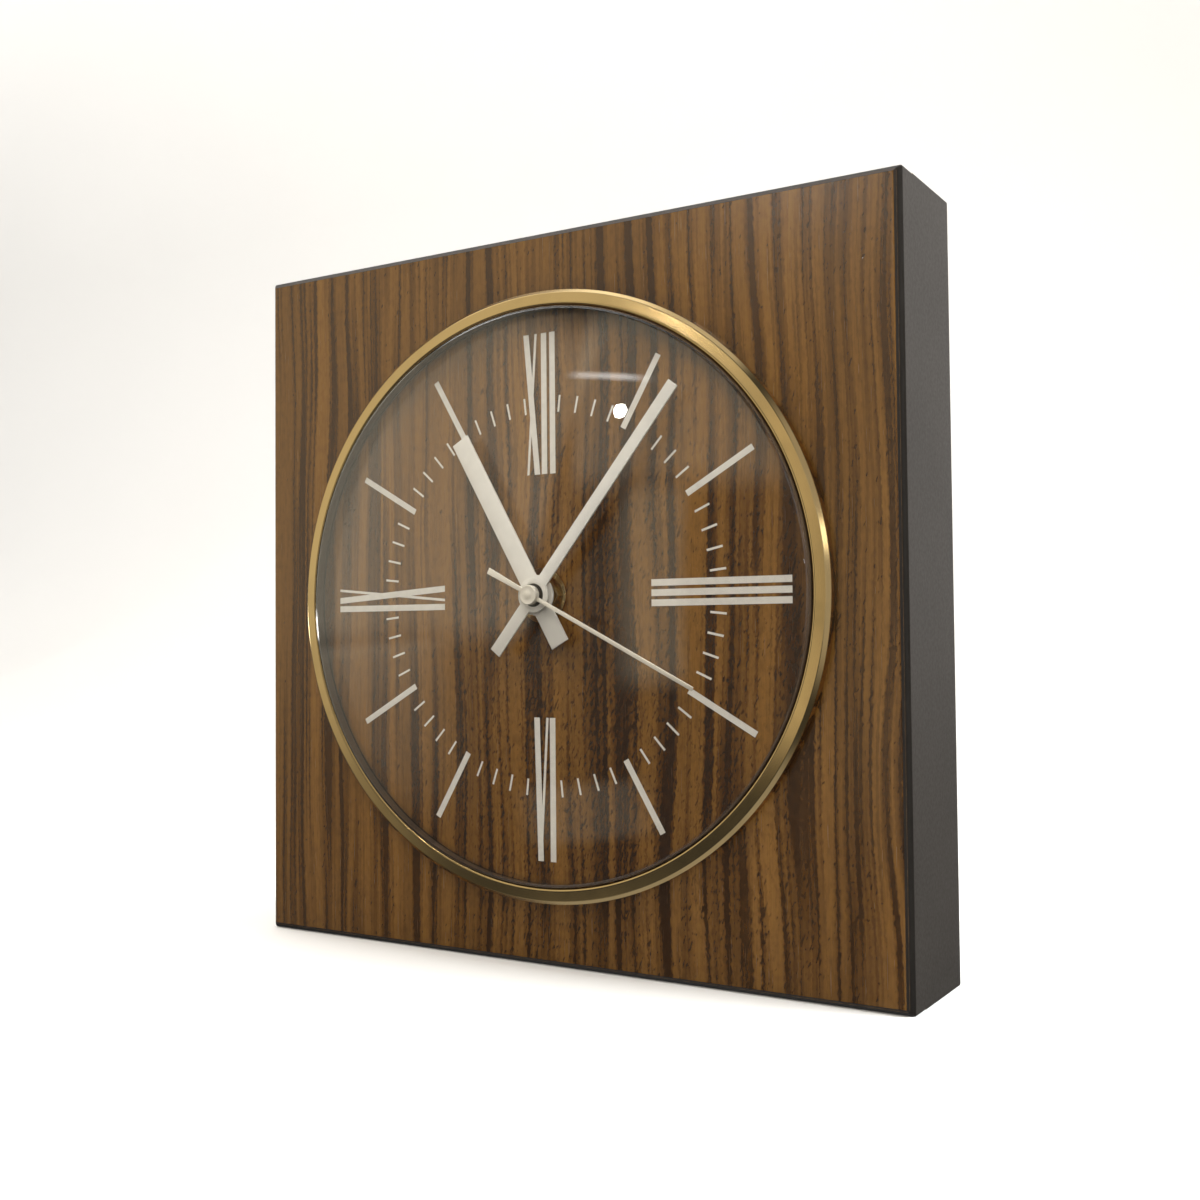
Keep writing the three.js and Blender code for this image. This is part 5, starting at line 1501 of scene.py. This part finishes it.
def graded(holder, *stops):
    """Grades a lamp's strength by stops across and up, so that its edges are soft."""
    holder.data.use_nodes = True
    work = Nodes(holder.data.node_tree)
    split = work.add("ShaderNodeSeparateXYZ", {0: work.add("ShaderNodeNewGeometry").outputs["Parametric"]})
    strengths = []
    for output, grades in zip(split.outputs, stops):
        greys = [(position, (strength, strength, strength)) for position, strength in grades]
        strengths.append(work.ramp(output, greys, "EASE"))
    emission = next(node for node in work.tree.nodes if node.type == "EMISSION")
    work.put(emission.inputs["Strength"], work.math("MULTIPLY", *strengths))


def lay_floor(stage):
    """A floor that bends up into a backdrop."""
    near, far, bend, top, half = -2.5, 0.95, 0.6, 2.4, 4.0
    line = [(near, 0.0), *arc((far - bend, bend), bend, -math.pi / 2, 0, 24), (far, top)]
    vertices = [(side * half, y, z) for y, z in line for side in (-1, 1)]
    faces = [(2 * i, 2 * i + 1, 2 * i + 3, 2 * i + 2) for i in range(len(line) - 1)]
    mesh = bpy.data.meshes.new("floor")
    mesh.from_pydata(vertices, [], faces)
    floor = smooth(new_object("floor", mesh), 60)
    coat(floor, plain_finish("pale_floor", stage.floor, 0.7, patch=0.3, grain=0.002, depth=0.00001, spread=0.01))
    floor.visible_glossy = floor.visible_transmission = False


def light_room(stage):
    """The room's own light. Gloss shows a dim room; straight sight, also through the lens, a pale one."""
    world = bpy.data.worlds.new("room")
    world.use_nodes = True
    work = Nodes(world.node_tree)
    rays = work.add("ShaderNodeLightPath").outputs
    glossy = work.math("GREATER_THAN", rays["Glossy Depth"], 0.5)
    bounces = work.math("SUBTRACT", rays["Ray Depth"], rays["Transmission Depth"])
    straight = work.math("LESS_THAN", bounces, 0.5)
    light = work.tree.nodes["Background"]
    work.put(light.inputs["Color"], stage.sky)
    work.put(light.inputs["Strength"], stage.sky_strength)
    for when, shade, strength in ((glossy, stage.sky, stage.sky_gleam), (straight, stage.floor, 1)):
        shown = work.add("ShaderNodeBackground", {"Color": shade, "Strength": strength})
        light = work.add("ShaderNodeMixShader", {0: when, 1: light.outputs[0], 2: shown.outputs[0]})
    work.put(work.tree.nodes["World Output"].inputs["Surface"], light.outputs[0])
    bpy.context.scene.world = world


def hang_lamps(stage):
    """Lights, pale cards that the gloss shows, and small lamps that the camera sees mirrored in the lens."""
    for setting, (spot, target, tint, size) in LIGHTS.items():
        aimed(f"{setting}_light", spot, target, getattr(stage, setting), tint, size, gleam=False)
    for setting, (azimuth, elevation, tint, size, across, up) in CARDS.items():
        spot = from_dial(azimuth, elevation, CARD_DISTANCE)
        graded(aimed(setting, spot, DIAL, getattr(stage, setting), tint, size), across, up)
    for setting, (spot, way, size, across, up) in LEVEL_CARDS.items():
        graded(aimed(setting, spot, spot + way, getattr(stage, setting), NEUTRAL, size), across, up)
    for setting, (mirrored_at, direction, tint, size) in GLINTS.items():
        target = DIAL + Vector(mirrored_at)
        spot = target + CARD_DISTANCE * Vector(direction)
        glint = aimed(setting, spot, target, getattr(stage, setting), tint, size)
        if setting == "tube":
            graded(glint, TUBE_STRENGTH, PEAK)
        else:
            glint.data.shape = "DISK"


class CLOCK_OT_stage(bpy.types.Operator):
    """Floor, backdrop, studio light and camera"""

    bl_idname = "clock.stage"
    bl_label = "Stage"

    def execute(self, context):
        stage = context.scene.clock_stage
        lay_floor(stage)
        light_room(stage)
        hang_lamps(stage)
        view = bpy.data.cameras.new("camera")
        view.sensor_width = stage.sensor
        view.lens = stage.focal
        view.shift_x, view.shift_y = stage.shift_x, stage.shift_y
        view.clip_start, view.clip_end = 0.01, 20
        camera = new_object("camera", view)
        camera.location = stage.camera_place
        camera.rotation_euler = stage.camera_turn
        context.scene.camera = camera
        context.scene.view_settings.view_transform = "Standard"
        return {"FINISHED"}


# Sidebar


STEPS = (
    CLOCK_OT_case,
    CLOCK_OT_dial,
    CLOCK_OT_bezel,
    CLOCK_OT_lens,
    CLOCK_OT_centre,
    CLOCK_OT_hands,
    CLOCK_OT_movement,
    CLOCK_OT_cell,
    CLOCK_OT_train,
    CLOCK_OT_hanger,
    CLOCK_OT_stage,
)
GROUPS = {
    "clock_wood": ClockWood,
    "clock_dial": ClockDial,
    "clock_bezel": ClockBezel,
    "clock_lens": ClockLens,
    "clock_hands": ClockHands,
    "clock_movement": ClockMovement,
    "clock_stage": ClockStage,
}


class CLOCK_PT_sidebar(bpy.types.Panel):
    """The clock's settings and the steps that build it"""

    bl_idname = "CLOCK_PT_sidebar"
    bl_label = "Wall clock"
    bl_space_type = "VIEW_3D"
    bl_region_type = "UI"
    bl_category = "Clock"

    def draw(self, context):
        for step in STEPS:
            self.layout.operator(step.bl_idname)
        for name, group in GROUPS.items():
            settings = getattr(context.scene, name)
            box = self.layout.box()
            box.label(text=group.__doc__)
            for key in group.__annotations__:
                box.prop(settings, key)


CLASSES = (*GROUPS.values(), *STEPS, CLOCK_PT_sidebar)


def register():
    for made in CLASSES:
        bpy.utils.register_class(made)
    for name, group in GROUPS.items():
        setattr(bpy.types.Scene, name, PointerProperty(type=group))


def unregister():
    for name in GROUPS:
        delattr(bpy.types.Scene, name)
    for made in reversed(CLASSES):
        bpy.utils.unregister_class(made)


def main():
    register()
    bpy.ops.clock.case()
    bpy.ops.clock.dial()
    bpy.ops.clock.bezel()
    bpy.ops.clock.lens()
    bpy.ops.clock.centre()
    bpy.ops.clock.hands()
    bpy.ops.clock.movement()
    bpy.ops.clock.cell()
    bpy.ops.clock.train()
    bpy.ops.clock.hanger()
    bpy.ops.clock.stage()


if __name__ == "__main__":
    main()
